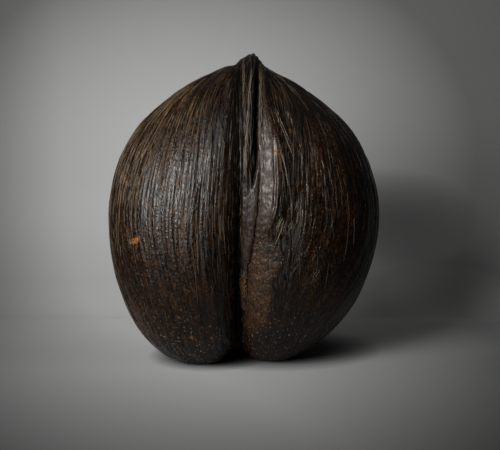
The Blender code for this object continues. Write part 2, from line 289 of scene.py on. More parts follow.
# The cleft face: where its parts lie on the front, as (height, how far right).
faceBorders = {
    "cleft": (
        (0.021, -0.0056), (0.046, -0.0046), (0.070, -0.0056), (0.088, -0.0062), (0.110, -0.0056),
        (0.127, -0.0052), (0.141, -0.0045), (0.164, -0.0032), (0.205, -0.0024), (0.268, -0.0028),
        (0.290, -0.0034),
    ),
    "crack": (
        (0.010, -0.0010), (0.031, -0.0004), (0.048, 0.0006), (0.072, 0.0032), (0.089, 0.0042),
        (0.104, 0.0052), (0.128, 0.0095), (0.150, 0.0126), (0.173, 0.0144), (0.200, 0.0144),
        (0.216, 0.0128), (0.262, 0.0135), (0.290, 0.0140),
    ),
    "groove": (
        (0.168, 0.0062), (0.176, 0.0080), (0.186, 0.0098), (0.200, 0.0112), (0.2165, 0.0119),
        (0.235, 0.0111), (0.262, 0.0122), (0.289, 0.0132),
    ),
    "lip": (
        (0.131, 0.0115), (0.134, 0.0196), (0.139, 0.0248), (0.150, 0.0280), (0.162, 0.0302),
        (0.174, 0.0316), (0.190, 0.0322), (0.200, 0.0316), (0.209, 0.0305), (0.218, 0.0285),
        (0.227, 0.0255), (0.245, 0.0208), (0.262, 0.0190), (0.290, 0.0180),
    ),
    "lip left": (
        (0.085, -0.0010), (0.150, -0.0004), (0.158, 0.0002), (0.165, 0.0022), (0.172, 0.0062),
        (0.180, 0.0094), (0.190, 0.0112), (0.200, 0.0120), (0.216, 0.0126), (0.290, 0.0136),
    ),
    "wall": (
        (0.018, 0.0100), (0.0225, 0.0129), (0.0455, 0.0221), (0.071, 0.0256), (0.086, 0.0246),
        (0.105, 0.0346), (0.113, 0.0382), (0.121, 0.0299), (0.139, 0.0162), (0.146, 0.0120),
    ),
    "ropes": (
        (0.060, -0.0030), (0.100, -0.0024), (0.165, -0.0010), (0.180, -0.0016), (0.195, -0.0004),
        (0.209, 0.0002), (0.224, 0.0016), (0.243, 0.0016), (0.2625, -0.0018), (0.290, -0.0008),
    ),
    "left": (
        (0.020, -0.0135), (0.088, -0.0150), (0.141, -0.0130), (0.290, -0.0110),
    ),
    "right": (
        (0.020, 0.0260), (0.060, 0.0400), (0.113, 0.0470), (0.160, 0.0450), (0.208, 0.0390),
        (0.262, 0.0280), (0.290, 0.0240),
    ),
}


# Heights between which a part fades in, or out where the name says end; half widths of the sunk
# lines; how far each part stands out; and how the face's edge covers the skin.
faceFades = {
    "lip": (0.128, 0.140), "lip left": (0.085, 0.130), "lip left end": (0.210, 0.230),
    "wall": (0.022, 0.066), "wall end": (0.130, 0.152), "keel": (0.160, 0.185),
    "strip": (0.066, 0.092), "strip end": (0.160, 0.215), "slot": (0.016, 0.030),
    "slot narrower": (0.110, 0.140), "slot fainter": (0.150, 0.255), "split": (0.052, 0.066),
    "split end": (0.196, 0.214), "gully": (0.172, 0.186), "gully fainter": (0.262, 0.288),
    "shade": (0.185, 0.210), "cover": (0.024, 0.034), "cover end": (0.283, 0.290),
}
faceWidths = {"slot": 0.0026, "slot narrower": 0.0010, "split": 0.00042, "gully": 0.0010}
faceDepths = {"lip": 0.0005, "wall": -0.0003, "slot": -0.0040, "split": -0.0014, "gully": -0.0012}
faceEdge = {"inset": 0.0022, "soft": 0.0012}


def borderAt(name, height):
    # straight lines between the border's stations
    known, right = np.array(faceBorders[name]).T
    return np.interp(height, known, right)


def bandBetween(right, left, end, soft):
    # 1 between two borders and 0 outside them, each edge softened
    return fade(right, left - soft, left + soft) * (1.0 - fade(right, end - soft, end + soft))


def rising(name, height):
    # 0 below the named heights and 1 above them
    return fade(height, *faceFades[name])


def faceParts(right, height, soft):
    # share of each part of the cleft face at x and z: between its borders, times its fades in height
    cleft, crack, groove = (borderAt(name, height) for name in ("cleft", "crack", "groove"))
    lipEnd, wallEnd, ropes = (borderAt(name, height) for name in ("lip", "wall", "ropes"))
    pastCrack = fade(right, crack - soft, crack + soft)
    lip = pastCrack * rising("lip", height) * (1.0 - fade(right, lipEnd - soft, lipEnd + 3 * soft))
    lipLeft = bandBetween(right, borderAt("lip left", height), crack - 0.0004, soft)
    lipLeft = lipLeft * rising("lip left", height) * (1.0 - rising("lip left end", height))
    lip = np.maximum(lip, lipLeft * (0.45 + 0.55 * fade(right, crack - 0.008, crack - 0.002)))
    wall = pastCrack * rising("wall", height)
    wall = wall * (1.0 - fade(right, wallEnd - 4 * soft, wallEnd + 2 * soft))
    wall = wall * (1.0 - rising("wall end", height))
    keel = bandBetween(right, ropes, groove, soft) * rising("keel", height) * (1.0 - lipLeft)
    strip = bandBetween(right, ropes, crack - 0.0008, soft) * rising("strip", height)
    strip = strip * (1.0 - rising("strip end", height)) * (1.0 - lipLeft)
    slotWidth = faceWidths["slot"] - faceWidths["slot narrower"] * rising("slot narrower", height)
    slot = furrows(right - cleft, slotWidth) * (1.0 - 0.7 * rising("slot fainter", height))
    slot = slot * rising("slot", height)
    split = furrows(right - crack, faceWidths["split"]) * rising("split", height)
    split = split * (1.0 - rising("split end", height))
    gully = furrows(right - groove, faceWidths["gully"]) * rising("gully", height)
    gully = gully * (1.0 - 0.5 * rising("gully fainter", height))
    shade = 0.8 * bandBetween(right, cleft - 0.008, ropes + 0.0014, 2 * soft) * rising("shade", height)
    return {
        "lip": lip, "wall": wall, "keel": keel, "strip": strip, "slot": slot, "split": split,
        "gully": gully, "shade": shade,
    }


def faceRecess(parts):
    # sum of each part's share times how far it stands out
    return sum(depth * parts[name] for name, depth in faceDepths.items())


def facePlace(points):
    # 1 where the cleft face covers the skin, 0 from its border outwards
    right, height = points[..., 0], points[..., 2]
    left, end = borderAt("left", height) + faceEdge["inset"], borderAt("right", height) - faceEdge["inset"]
    inner = bandBetween(right, left, end, faceEdge["soft"])
    inner = inner * rising("cover", height) * (1.0 - rising("cover end", height))
    return inner * fade(-points[..., 1], *nutShape["faceFade"])


def partFields(parts, shade):
    # what the shell's material needs of the parts, each from 0 to 1
    return {
        "lip": parts["lip"], "wall": parts["wall"],
        "keel": np.maximum(parts["keel"], 0.6 * parts["strip"]),
        # painted shade in the sunk lines and the band left of the keel
        "paintedShade": np.clip(parts["slot"] + parts["split"] + parts["gully"] + shade, 0.0, 1.0),
    }


# The skin's grid, from the tip down to the crotch. Near both ends rows keep fewer columns.
skinGrid = {
    "columns": 1152,
    "fullRows": 79,
    "firstRow": 10.5,            # degrees down from the tip, as in all the rows
    "lastRow": 168.0,
    "tipRows": ((0.0, 1), (1.2, 36), (2.4, 72), (3.9, 144), (5.6, 288), (7.4, 576), (9.0, 1152)),
    "crotchRows": ((170.3, 1152), (172.4, 576), (174.6, 288), (176.4, 144), (178.0, 72), (179.2, 36),
                   (180.0, 1)),
    "frontCrowd": (0.7, 1.25),   # how much columns crowd at the front, and how far around
    "backCrowd": (0.5, 0.30),
    "tipCrowd": (0.6, 0.30),
    "crotchCrowd": (0.8, 0.42),
    "wander": 0.010,             # how far a column strays from its angle, in radians
    "fanLimit": 0.5,             # how far columns by the cleft spread on the way to the tip
    "fanReach": (0.09, 0.15),    # half the depth and half the height that the spread is for
    "soft": 0.0008,              # half width of the soft edges of the face's parts
    "underFace": 0.0013,         # how far the skin is sunk where the cleft face covers it
}


def crowded(start, end, crowd, shares):
    # values from start to end, spaced by 1 / crowd: the inverse of crowd's running sum
    value = np.linspace(start, end, len(crowd))
    passed = np.concatenate([[0.0], np.cumsum((crowd[1:] + crowd[:-1]) / 2.0)])
    return np.interp(shares, passed / passed[-1], value)


def columnAngles(grid):
    # angles round the nut, crowd = 1 + front exp(-((a + 90) / w)^4) + back exp(-((a - 90) / w)^4)
    angle = np.linspace(-np.pi, np.pi, 3601)
    front, frontWidth = grid["frontCrowd"]
    back, backWidth = grid["backCrowd"]
    crowd = 1.0 + front * np.exp(-(((angle + np.pi / 2) / frontWidth) ** 4))
    crowd += back * np.exp(-(((angle - np.pi / 2) / backWidth) ** 4))
    return crowded(-np.pi, np.pi, crowd, np.arange(grid["columns"]) / grid["columns"])


def rowAngles(grid):
    # angles down from the tip and the number of columns each row keeps
    first, last = np.radians(grid["firstRow"]), np.radians(grid["lastRow"])
    polar = np.linspace(first, last, 1001)
    crowd = 1.0 + grid["tipCrowd"][0] * np.exp(-(((polar - first) / grid["tipCrowd"][1]) ** 2))
    crowd += grid["crotchCrowd"][0] * np.exp(-(((polar - last) / grid["crotchCrowd"][1]) ** 2))
    full = crowded(first, last, crowd, np.linspace(0.0, 1.0, grid["fullRows"]))
    tip, crotch = np.array(grid["tipRows"]), np.array(grid["crotchRows"])
    angles = np.concatenate([np.radians(tip[:, 0]), full, np.radians(crotch[:, 0])])
    kept = np.concatenate([tip[:, 1], np.full(len(full), grid["columns"]), crotch[:, 1]])
    return angles, kept.astype(int)


def columnFan(polar, grid):
    # limit * tanh((half depth / distance to the axis - 1) / limit), for a superellipse's distance
    halfDepth, halfHeight = grid["fanReach"]
    power = nutShape["fullness"]
    gauge = (np.sin(polar) / halfDepth) ** power + (np.abs(np.cos(polar)) / halfHeight) ** power
    toAxis = np.maximum(np.sin(polar) * gauge ** (-1.0 / power), 0.001)
    return grid["fanLimit"] * np.tanh((halfDepth / toAxis - 1.0) / grid["fanLimit"])


def skinDirections(polar, angle, grid):
    # (sin p cos a + lean max(cos p, 0)^2, sin p sin a, cos p), with the columns fanned and wandering
    wander = grid["wander"] * np.sin(3.0 * polar + 7.0 * angle) * np.sin(polar)
    turned = angle + wander - columnFan(polar, grid) / 2.0 * np.sin(2.0 * angle)
    across = np.sin(polar) * np.cos(turned) + nutShape["tipLean"] * np.maximum(np.cos(polar), 0.0) ** 2
    deep = np.sin(polar) * np.sin(turned)
    return unit(np.stack([across, deep, np.cos(polar) + 0.0 * turned], axis=-1))


def gridNormals(points, wrap):
    # cross product of the step down and the step across, both between neighbours on each side
    if wrap:
        across = np.roll(points, -1, axis=1) - np.roll(points, 1, axis=1)
    else:
        across = np.gradient(points, axis=1)
    return unit(np.cross(np.gradient(points, axis=0), across))


def lengthDown(points):
    # running sum of the steps from row to row
    steps = np.linalg.norm(np.diff(points, axis=0), axis=-1)
    return np.concatenate([np.zeros((1, points.shape[1])), np.cumsum(steps, axis=0)])


def shiftedColumns(field, shift):
    # the field read this many columns further round, straight between neighbours
    place = np.arange(field.shape[1])[None, :] + shift
    low = np.floor(place).astype(int)
    share = place - low
    rows = np.arange(field.shape[0])[:, None]
    count = field.shape[1]
    return field[rows, low % count] * (1.0 - share) + field[rows, (low + 1) % count] * share


def waveNoise(shape, seed, wave, length):
    # complex noise with one sense of turn across: white noise times
    # exp(-((k / k0 - 1) / 0.3)^2 / 2 - (length ky)^2 / 2), k0 = 2 pi / wave
    noise = np.random.default_rng(seed).standard_normal(shape)
    down = 2.0 * np.pi * np.fft.fftfreq(shape[0])[:, None]
    across = np.fft.fftfreq(shape[1])[None, :] * wave
    keep = np.exp(-(((across - 1.0) / 0.3) ** 2) / 2.0 - ((length * down) ** 2) / 2.0)
    field = np.fft.ifft2(np.fft.fft2(noise) * keep)
    return field / np.abs(field).std()


def ribField(seed, spacing, length, columnWidth):
    # cosine of a noise's phase, whose waves across are as long as spacing wherever they are: noises
    # of wave 2 * 2^(k / 2) columns, mixed by k = 2 log2(spacing / (2 columnWidth)). Where waves are
    # added they branch. The noise's size comes second, so that lines can fade out.
    shape = columnWidth.shape
    waves = np.stack([waveNoise(shape, seed + k, 2.0 * 2.0 ** (k / 2.0), length) for k in range(14)])
    level = np.clip(2.0 * np.log2(spacing / (2.0 * columnWidth)), 0.0, 12.999)
    low = np.floor(level).astype(int)
    share = level - low
    first = np.take_along_axis(waves, low[None], 0)[0]
    second = np.take_along_axis(waves, low[None] + 1, 0)[0]
    field = first * (1.0 - share) + second * share
    return np.cos(np.angle(field)), np.abs(field) / np.abs(field).mean()


def troughs(wave, power):
    # 1 at the bottom of each wave: ((1 - wave) / 2)^power
    return ((1.0 - wave) / 2.0) ** power


# The fibre ribs and the worn places of the skin.
ribs = {
    "seed": 7,
    "waves": {                   # number added to the seed, spacing in metres and length in rows
        "wide": (10, 0.0050, 8.0),
        "fine": (30, 0.0027, 3.0),
        "swell": (50, 0.0210, 6.0),
        "gold": (70, 0.0034, 1.4),
        "ripple": (90, 0.0115, 2.0),
    },
    "sharpness": {"wide": 2.5, "fine": 1.6, "gold": 3.2},  # more makes narrower furrows and lines
    "wideDepth": 0.00044,
    "fineDepth": 0.00021,
    "swell": 0.00036,
    "ripple": 0.00020,
    "wander": 1.6,               # columns that a furrow strays
    "lean": (40.0, 80.0),        # columns that the ribs lean to the crotch, low on the left and right
    "leanFrom": (80.0, 150.0),   # degrees down from the tip
    "fromCleft": (1.5, 8.0),     # degrees away from the cleft where ribs fade in
    "fromTip": (3.0, 22.0),      # degrees down from the tip where they fade in, and out again
    "toCrotch": (150.0, 172.0),
    # the dull strip is also darkened in colour as painted shade, in the material
    "dullPlace": ((-0.052, -0.022), (0.045, 0.070)),  # how far right the dull strip fades in and out
    "dullShallower": 0.3,        # share of the wide furrows' depth that is missing there
    "dullPlainer": 0.75,         # share of the gold lines that is missing there
}
wornPlaces = (                   # right, height, half width, half height, strength: on the front
    (-0.076, 0.238, 0.030, 0.020, 0.8), (-0.052, 0.247, 0.020, 0.022, 0.9),
    (-0.088, 0.210, 0.018, 0.025, 0.9), (-0.108, 0.181, 0.012, 0.034, 0.7),
    (-0.034, 0.186, 0.010, 0.030, 0.3), (-0.045, 0.215, 0.024, 0.020, 0.4),
    (-0.018, 0.150, 0.010, 0.050, 0.2), (-0.094, 0.062, 0.018, 0.026, 0.6),
    (-0.034, 0.092, 0.024, 0.030, 0.25), (-0.062, 0.085, 0.030, 0.020, 0.15),
    (-0.012, 0.272, 0.012, 0.010, 0.9), (-0.060, 0.130, 0.050, 0.030, 0.20),
    (0.044, 0.228, 0.014, 0.020, 1.0), (0.053, 0.216, 0.012, 0.022, 0.9),
    (0.062, 0.190, 0.012, 0.032, 0.9), (0.080, 0.168, 0.014, 0.045, 1.0),
    (0.058, 0.150, 0.016, 0.030, 0.5), (0.062, 0.090, 0.014, 0.028, 0.6),
    (0.092, 0.150, 0.010, 0.040, 0.5), (0.036, 0.252, 0.016, 0.014, 0.7),
)
# The dent under the orange scar, and the step where a flake is missing: its ends as (right, height).
scarShape = {"place": (-0.1000, -0.073, 0.127), "radius": 0.0046, "depth": 0.0011}
flakeShape = {"from": (0.030, 0.280), "to": (0.056, 0.2645), "depth": 0.0018}


def wornShare(points):
    # strongest of exp(-((x - right) / w)^2 - ((z - height) / h)^2) on the front, a share elsewhere
    share = np.zeros(points.shape[:-1])
    front = fade(-points[..., 1], -0.01, 0.02)
    for right, height, halfWidth, halfHeight, strength in wornPlaces:
        away = ((points[..., 0] - right) / halfWidth) ** 2 + ((points[..., 2] - height) / halfHeight) ** 2
        share = np.maximum(share, strength * np.exp(-away) * front)
    return share


def writeMesh(name, vertices, faces, attributes, material):
    # puts the arrays into a mesh with foreach_set; attributes are floats or vectors at points
    mesh = bpy.data.meshes.new(name)
    mesh.vertices.add(len(vertices))
    mesh.vertices.foreach_set("co", np.asarray(vertices, np.float32).ravel())
    count = faces.shape[1]
    mesh.loops.add(faces.size)
    mesh.loops.foreach_set("vertex_index", faces.astype(np.int32).ravel())
    mesh.polygons.add(len(faces))
    mesh.polygons.foreach_set("loop_start", np.arange(0, faces.size, count, dtype=np.int32))
    mesh.update(calc_edges=True)
    mesh.validate()
    mesh.shade_smooth()
    for key, values in attributes.items():
        if values.ndim == 2:
            made = mesh.attributes.new(key, "FLOAT_VECTOR", "POINT")
            made.data.foreach_set("vector", values.astype(np.float32).ravel())
        else:
            made = mesh.attributes.new(key, "FLOAT", "POINT")
            made.data.foreach_set("value", values.astype(np.float32))
    mesh.materials.append(material)
    piece = bpy.data.objects.new(name, mesh)
    bpy.context.scene.collection.objects.link(piece)
    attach(piece, "root")
    return piece


def cellTriangles(a, b, c, d):
    # two triangles for each cell, whose corners a, b, c and d follow each other round it
    return np.concatenate([
        np.stack([a, b, c], axis=-1).reshape(-1, 3), np.stack([a, c, d], axis=-1).reshape(-1, 3)
    ])


def wrappedTriangles(index):
    # the triangles of a grid of vertex numbers that wraps sideways, flat ones left out
    beside = np.roll(index, -1, axis=1)
    faces = cellTriangles(index[:-1], index[1:], beside[1:], beside[:-1])
    good = (faces[:, 0] != faces[:, 1]) & (faces[:, 1] != faces[:, 2]) & (faces[:, 0] != faces[:, 2])
    return faces[good]


def buildSkin():
    # middle + ray * (reach + main relief + face recess) + normal * (swell - furrows)
    grid = skinGrid
    angles, kept = rowAngles(grid)
    polar, angle = angles[:, None], columnAngles(grid)[None, :]
    directions = skinDirections(polar, angle, grid)
    points = surfacePoints(directions)
    cover = facePlace(points)
    parts = faceParts(points[..., 0], points[..., 2], grid["soft"])
    front = fade(-points[..., 1], *nutShape["faceFade"])
    parts = {name: share * front for name, share in parts.items()}
    relief = mainRelief(points) + faceRecess(parts) - grid["underFace"] * cover
    points = points + directions * relief[..., None]
    normals = gridNormals(points, True)
    flat = np.linalg.norm(normals, axis=-1) < 0.5
    normals[flat] = directions[flat]
    across = np.linalg.norm(np.roll(points, -1, axis=1) - points, axis=-1)
    across = np.maximum((across + np.roll(across, 1, axis=1)) / 2.0, 2e-5)
    along = lengthDown(points)
    # waves across the ribs, which all stray and lean together
    seed = ribs["seed"]
    drift = ribs["wander"] * noiseField(across.shape, seed, 24.0, 8.0, band=False)
    lean = np.where(angle < -np.pi / 2, *ribs["lean"]) * np.sin(2.0 * angle + np.pi) * (angle < 0.0)
    drift = drift + lean * fade(polar, *np.radians(ribs["leanFrom"]))
    wave, size = {}, {}
    for name, (own, spacing, length) in ribs["waves"].items():
        field = ribField(seed + own, spacing, length, across)
        wave[name], size[name] = (shiftedColumns(one, drift) for one in field)
    trough = {name: troughs(wave[name], power) for name, power in ribs["sharpness"].items()}
    fromCleft = np.minimum(np.abs(angle + np.pi / 2), np.abs(angle - np.pi / 2))
    strength = fade(fromCleft, *np.radians(ribs["fromCleft"])) * fade(polar, *np.radians(ribs["fromTip"]))
    strength = strength * (1.0 - fade(polar, *np.radians(ribs["toCrotch"]))) * (1.0 - cover)
    dullShade = dullShadeShare(points)
    wideFurrow = trough["wide"] * (0.3 + 0.7 * fade(size["wide"], 0.25, 1.1))
    wideFurrow = wideFurrow * (1.0 - ribs["dullShallower"] * dullShade)
    fineFurrow = trough["fine"] * fade(size["fine"], 0.25, 1.0)
    away = np.linalg.norm(points - np.array(scarShape["place"]), axis=-1) / scarShape["radius"]
    push = ribs["swell"] * wave["swell"] + ribs["ripple"] * wave["ripple"]
    push -= ribs["wideDepth"] * wideFurrow + ribs["fineDepth"] * fineFurrow
    push = push * strength - scarShape["depth"] * np.exp(-(away**4))
    push -= flakeShape["depth"] * flakeShare(points)
    points = points + normals * push[..., None]
    points[..., 2] = np.maximum(points[..., 2], 0.0)
    # gold lines where the skin is worn, fewer low down, on the right and in the dull strip with its painted
    # shade
    random = fade(noiseField(across.shape, seed + 60, 32.0, 7.0, band=False), 0.3, 1.8)
    worn = np.maximum(wornShare(points), 0.55 * random * fade(points[..., 1], -0.03, 0.03))
    worn = np.maximum(worn, 0.25 * random)
    gold = trough["gold"] * fade(size["gold"], 0.8, 1.6) * worn
    gold = gold * (1.0 - 0.85 * fade(0.15 - points[..., 2], 0.0, 0.05))
    gold = gold * (1.0 - 0.25 * fade(points[..., 0], 0.03, 0.06)) * (1.0 - ribs["dullPlainer"] * dullShade)
    fields = partFields(parts, parts["shade"])
    fields["furrow"] = np.clip(wideFurrow + 0.55 * fineFurrow, 0.0, 1.0) * strength
    fields |= {"gold": gold, "worn": worn, "dullShade": dullShade}
    turned = angle + drift * (2.0 * np.pi / grid["columns"])
    fibre = np.stack([0.1 * np.cos(turned), 0.1 * np.sin(turned), along], axis=-1)
    return points, fields, fibre, kept


def dullShadeShare(points):
    # 1 in a strip down the front on both sides of the cleft, which is glossy in stripes and darker as
    # painted shade
    left, right = ribs["dullPlace"]
    share = fade(points[..., 0], *left) * (1.0 - fade(points[..., 0], *right))
    return share * fade(-points[..., 1], 0.004, 0.03)


def flakeShare(points):
    # a shallow step below a slanting line on the right shoulder: 1 just under it, faded out below
    startX, startZ = flakeShape["from"]
    endX, endZ = flakeShape["to"]
    share = (points[..., 0] - startX) / (endX - startX)
    line = startZ + (endZ - startZ) * share + 0.0006 * np.sin(share * 23.0)
    under = line - points[..., 2]
    step = fade(share, 0.35, 0.5) * (1.0 - fade(share, 0.95, 1.5)) * fade(under, -0.0004, 0.0004)
    return step * (1.0 - fade(under, 0.002, 0.022)) * fade(-points[..., 1], -0.03, 0.0)


def keptVertices(values, kept):
    # the values at the columns that each row keeps
    columns = skinGrid["columns"]
    return np.concatenate([row[:: columns // count] for row, count in zip(values, kept)])


def keptIndex(kept):
    # number of the vertex that each cell corner of the full grid stands on
    columns = skinGrid["columns"]
    start = np.concatenate([[0], np.cumsum(kept)[:-1]])
    return start[:, None] + np.arange(columns)[None, :] // (columns // kept)[:, None]


skinPoints, skinFields, skinFibre, skinKept = buildSkin()
skinLow, skinHigh = skinPoints.min(axis=(0, 1)), skinPoints.max(axis=(0, 1))
placeShift = (np.array(nutLow) + np.array(nutHigh)) / 2.0 - (skinLow + skinHigh) / 2.0
placeShift[2] = 0.0
skinPoints = skinPoints + placeShift
skinNormals = gridNormals(skinPoints, True)
print("skin worked out", skinPoints.shape, "moved by", placeShift.round(5))


# The cleft face: a finer sheet over the front, from the tip to the foot of the cleft. Its rays are
# given by their tilt forward from straight up, and by how far right they come out.
faceGrid = {
    "columns": 118, "rows": 440, "firstTilt": 9.0, "lastTilt": 146.0, "seed": 101,
    "soft": 0.0005,              # half width of the soft edges of its parts
    "intoSkin": 0.0011,          # how far its own border is sunk into the skin
    "ragged": 0.0004,            # how far the parts' borders stray to the side, and up and down
    "uneven": 0.0010,
}
faceGrain = {                    # number added to the seed, width and length in cells, only waves or not
    "ragged": (0, 3.2, 5.0, False),
    "uneven": (1, 4.0, 3.0, False),
    "strands": (2, 1.5, 16.0, True),
    "threads": (3, 0.8, 9.0, True),
    "blocks": (4, 2.2, 2.6, False),
    "crumbs": (5, 1.1, 1.1, False),
    "crackle": (6, 1.9, 2.2, True),
}
faceRelief = {                   # how far the grain of each part stands out
    "ropes": {"strands": 0.00030, "strandFurrows": -0.0009, "threadFurrows": -0.0003},
    "lip": {"blocks": 0.00008, "crackleLines": -0.00007, "threadFurrows": -0.00010},
    "wall": {"blocks": 0.00016, "crumbs": 0.00012, "pits": -0.00022},
    "plain": {"strandFurrows": -0.00042, "threadFurrows": -0.00022},
}


def frontPoints(rightAt, tilt):
    # rays (x / reach, -sin t, cos t), with reach found again from each hit until x is met
    middle = np.array(nutShape["middle"])
    reach = np.full(tilt.shape, 0.09)
    height = middle[2] + reach * np.cos(tilt)
    for _ in range(7):
        right = (rightAt(height) - middle[0]) / reach
        directions = unit(np.stack([right, -np.sin(tilt), np.cos(tilt)], axis=-1))
        points = surfacePoints(directions)
        reach = np.hypot(points[..., 1] - middle[1], points[..., 2] - middle[2])
        height = points[..., 2]
    return points, directions


def buildFace():
    # as the skin, on a grid of half millimetres, with ragged borders and the sum of each part's share
    # times its grain. The lip's rim is worn. The low flank to the left of the cleft gets worn gold colour,
    # which is partly painted light, standing in for bounce light that reaches it
    grid = faceGrid
    share = np.linspace(0.0, 1.0, grid["columns"])[None, :]
    tilt = np.radians(np.linspace(grid["firstTilt"], grid["lastTilt"], grid["rows"]))[:, None] + 0.0 * share
    points, directions = frontPoints(
        lambda z: borderAt("left", z) * (1.0 - share) + borderAt("right", z) * share, tilt
    )
    along = lengthDown(points)
    grain = {
        name: noiseField(tilt.shape, grid["seed"] + own, width, length, band=waves)
        for name, (own, width, length, waves) in faceGrain.items()
    }
    grain["strandFurrows"] = furrows(grain["strands"], 0.45)
    grain["threadFurrows"] = furrows(grain["threads"], 0.50)
    grain["crackleLines"] = furrows(grain["crackle"], 0.30)
    grain["pits"] = fade(grain["crumbs"], 0.8, 1.9)
    right = points[..., 0] + grid["ragged"] * grain["ragged"]
    height = points[..., 2] + grid["uneven"] * grain["uneven"]
    parts = faceParts(right, height, grid["soft"])
    cover = facePlace(points)
    relief = mainRelief(points) + faceRecess(parts) - grid["intoSkin"] * (1.0 - cover)
    points = points + directions * relief[..., None]
    normals = gridNormals(points, False)
    fields = partFields(parts, parts["shade"] * (0.35 + 0.65 * fade(grain["strands"], -0.5, 0.9)))
    ropes, lip, wall = fields["keel"], fields["lip"], fields["wall"]
    plain = np.clip(1.0 - ropes - lip - wall, 0.0, 1.0)
    shares = {"ropes": ropes, "lip": lip, "wall": wall, "plain": plain}
    push = sum(
        shares[part] * sum(depth * grain[name] for name, depth in depths.items())
        for part, depths in faceRelief.items()
    )
    points = points + normals * (push * cover)[..., None]
    lines = ropes * np.maximum(grain["strandFurrows"], 0.6 * grain["threadFurrows"])
    lines = np.maximum(lines, plain * grain["strandFurrows"])
    lines = np.maximum(lines, lip * 0.3 * furrows(grain["crackle"], 0.25))
    lines = np.maximum(lines, wall * fade(grain["crumbs"], 0.9, 1.9))
    # partly painted light: the low flank left of the cleft lightened with worn gold colour, for bounce light
    wornAndLitFlank = (1.0 - fade(right, -0.010, -0.0075)) * (1.0 - fade(height, 0.150, 0.180))
    rimHeight, rimRight = np.array(frontLines["rim of the lip"])[::-1, :2].T
    rim = furrows(points[..., 0] - np.interp(height, rimHeight, rimRight), 0.0011) * lip
    worn = np.maximum(wornShare(points), 0.5 * fade(grain["blocks"], 0.2, 1.4))
    gold = 0.6 * fade(grain["threads"], 0.9, 2.0) * fade(height, 0.10, 0.14)
    fields |= {
        "furrow": lines,
        "gold": np.maximum(gold, 0.4 * wornAndLitFlank) * plain,
        "worn": np.maximum(np.maximum(worn, wornAndLitFlank) * plain, rim * fade(height, 0.134, 0.145)),
        "dullShade": dullShadeShare(points),
    }
    fibre = np.stack([points[..., 0], 0.0 * along - 0.1, along], axis=-1)
    return points + placeShift, fields, fibre


facePoints, faceFields, faceFibre = buildFace()
faceNormals = gridNormals(facePoints, False)
print("cleft face worked out", facePoints.shape)


# Materials. Small helpers add a node, with sockets or constants for its inputs.
def addNode(tree, kind, inputs, **settings):
    # the settings first, as they may change the inputs; a colour gets its fourth number
    made = tree.nodes.new(kind)
    for name, value in settings.items():
        setattr(made, name, value)
    for name, value in inputs.items():
        if isinstance(value, bpy.types.NodeSocket):
            tree.links.new(value, made.inputs[name])
        elif made.inputs[name].type == "RGBA":
            made.inputs[name].default_value = (*value, 1.0)
        else:
            made.inputs[name].default_value = value
    return made


def maths(tree, operation, first, second=0.0):
    # one operation on two numbers
    return addNode(tree, "ShaderNodeMath", {0: first, 1: second}, operation=operation).outputs[0]


def times(tree, *values):
    # all the values multiplied
    product = values[0]
    for value in values[1:]:
        product = maths(tree, "MULTIPLY", product, value)
    return product


def strongest(tree, *values):
    # the largest of the values
    largest = values[0]
    for value in values[1:]:
        largest = maths(tree, "MAXIMUM", largest, value)
    return largest


def vectorMaths(tree, operation, first, second):
    # one operation on two vectors, or on a vector and a factor; a dot product gives a number
    other = 3 if operation == "SCALE" else 1
    made = addNode(tree, "ShaderNodeVectorMath", {0: first, other: second}, operation=operation)
    return made.outputs["Value" if operation == "DOT_PRODUCT" else "Vector"]


def axisOf(tree, place, axis):
    # 0 is how far right, 1 how far back and 2 how high
    return addNode(tree, "ShaderNodeSeparateXYZ", {0: place}).outputs[axis]


def farFrom(tree, place, middle, reach):
    # |(place - middle) / reach|^2
    off = vectorMaths(tree, "DIVIDE", vectorMaths(tree, "SUBTRACT", place, middle), reach)
    return vectorMaths(tree, "DOT_PRODUCT", off, off)


def ranged(tree, value, low, high, start=0.0, end=1.0):
    # start up to low, end from high, and a straight line between
    inputs = {"Value": value, "From Min": low, "From Max": high, "To Min": start, "To Max": end}
    return addNode(tree, "ShaderNodeMapRange", inputs).outputs["Result"]


def mixed(tree, share, first, second):
    # first + share * (second - first), for colours
    return addNode(tree, "ShaderNodeMix", {0: share, 6: first, 7: second}, data_type="RGBA").outputs[2]


def blended(tree, share, first, second):
    # first + share * (second - first), for plain numbers
    return addNode(tree, "ShaderNodeMix", {0: share, 2: first, 3: second}, data_type="FLOAT").outputs[0]


def attribute(tree, name, output="Fac"):
    # what the mesh stores under this name
    return addNode(tree, "ShaderNodeAttribute", {}, attribute_name=name).outputs[output]


def newGroup(name, inputs, outputs):
    # an empty node group with named sockets, and its input and output nodes
    tree = bpy.data.node_groups.new(name, "ShaderNodeTree")
    for socket, kind, value in inputs:
        made = tree.interface.new_socket(socket, in_out="INPUT", socket_type=kind)
        if value is not None:
            made.default_value = value
    for socket, kind in outputs:
        tree.interface.new_socket(socket, in_out="OUTPUT", socket_type=kind)
    return tree, tree.nodes.new("NodeGroupInput").outputs, tree.nodes.new("NodeGroupOutput").inputs


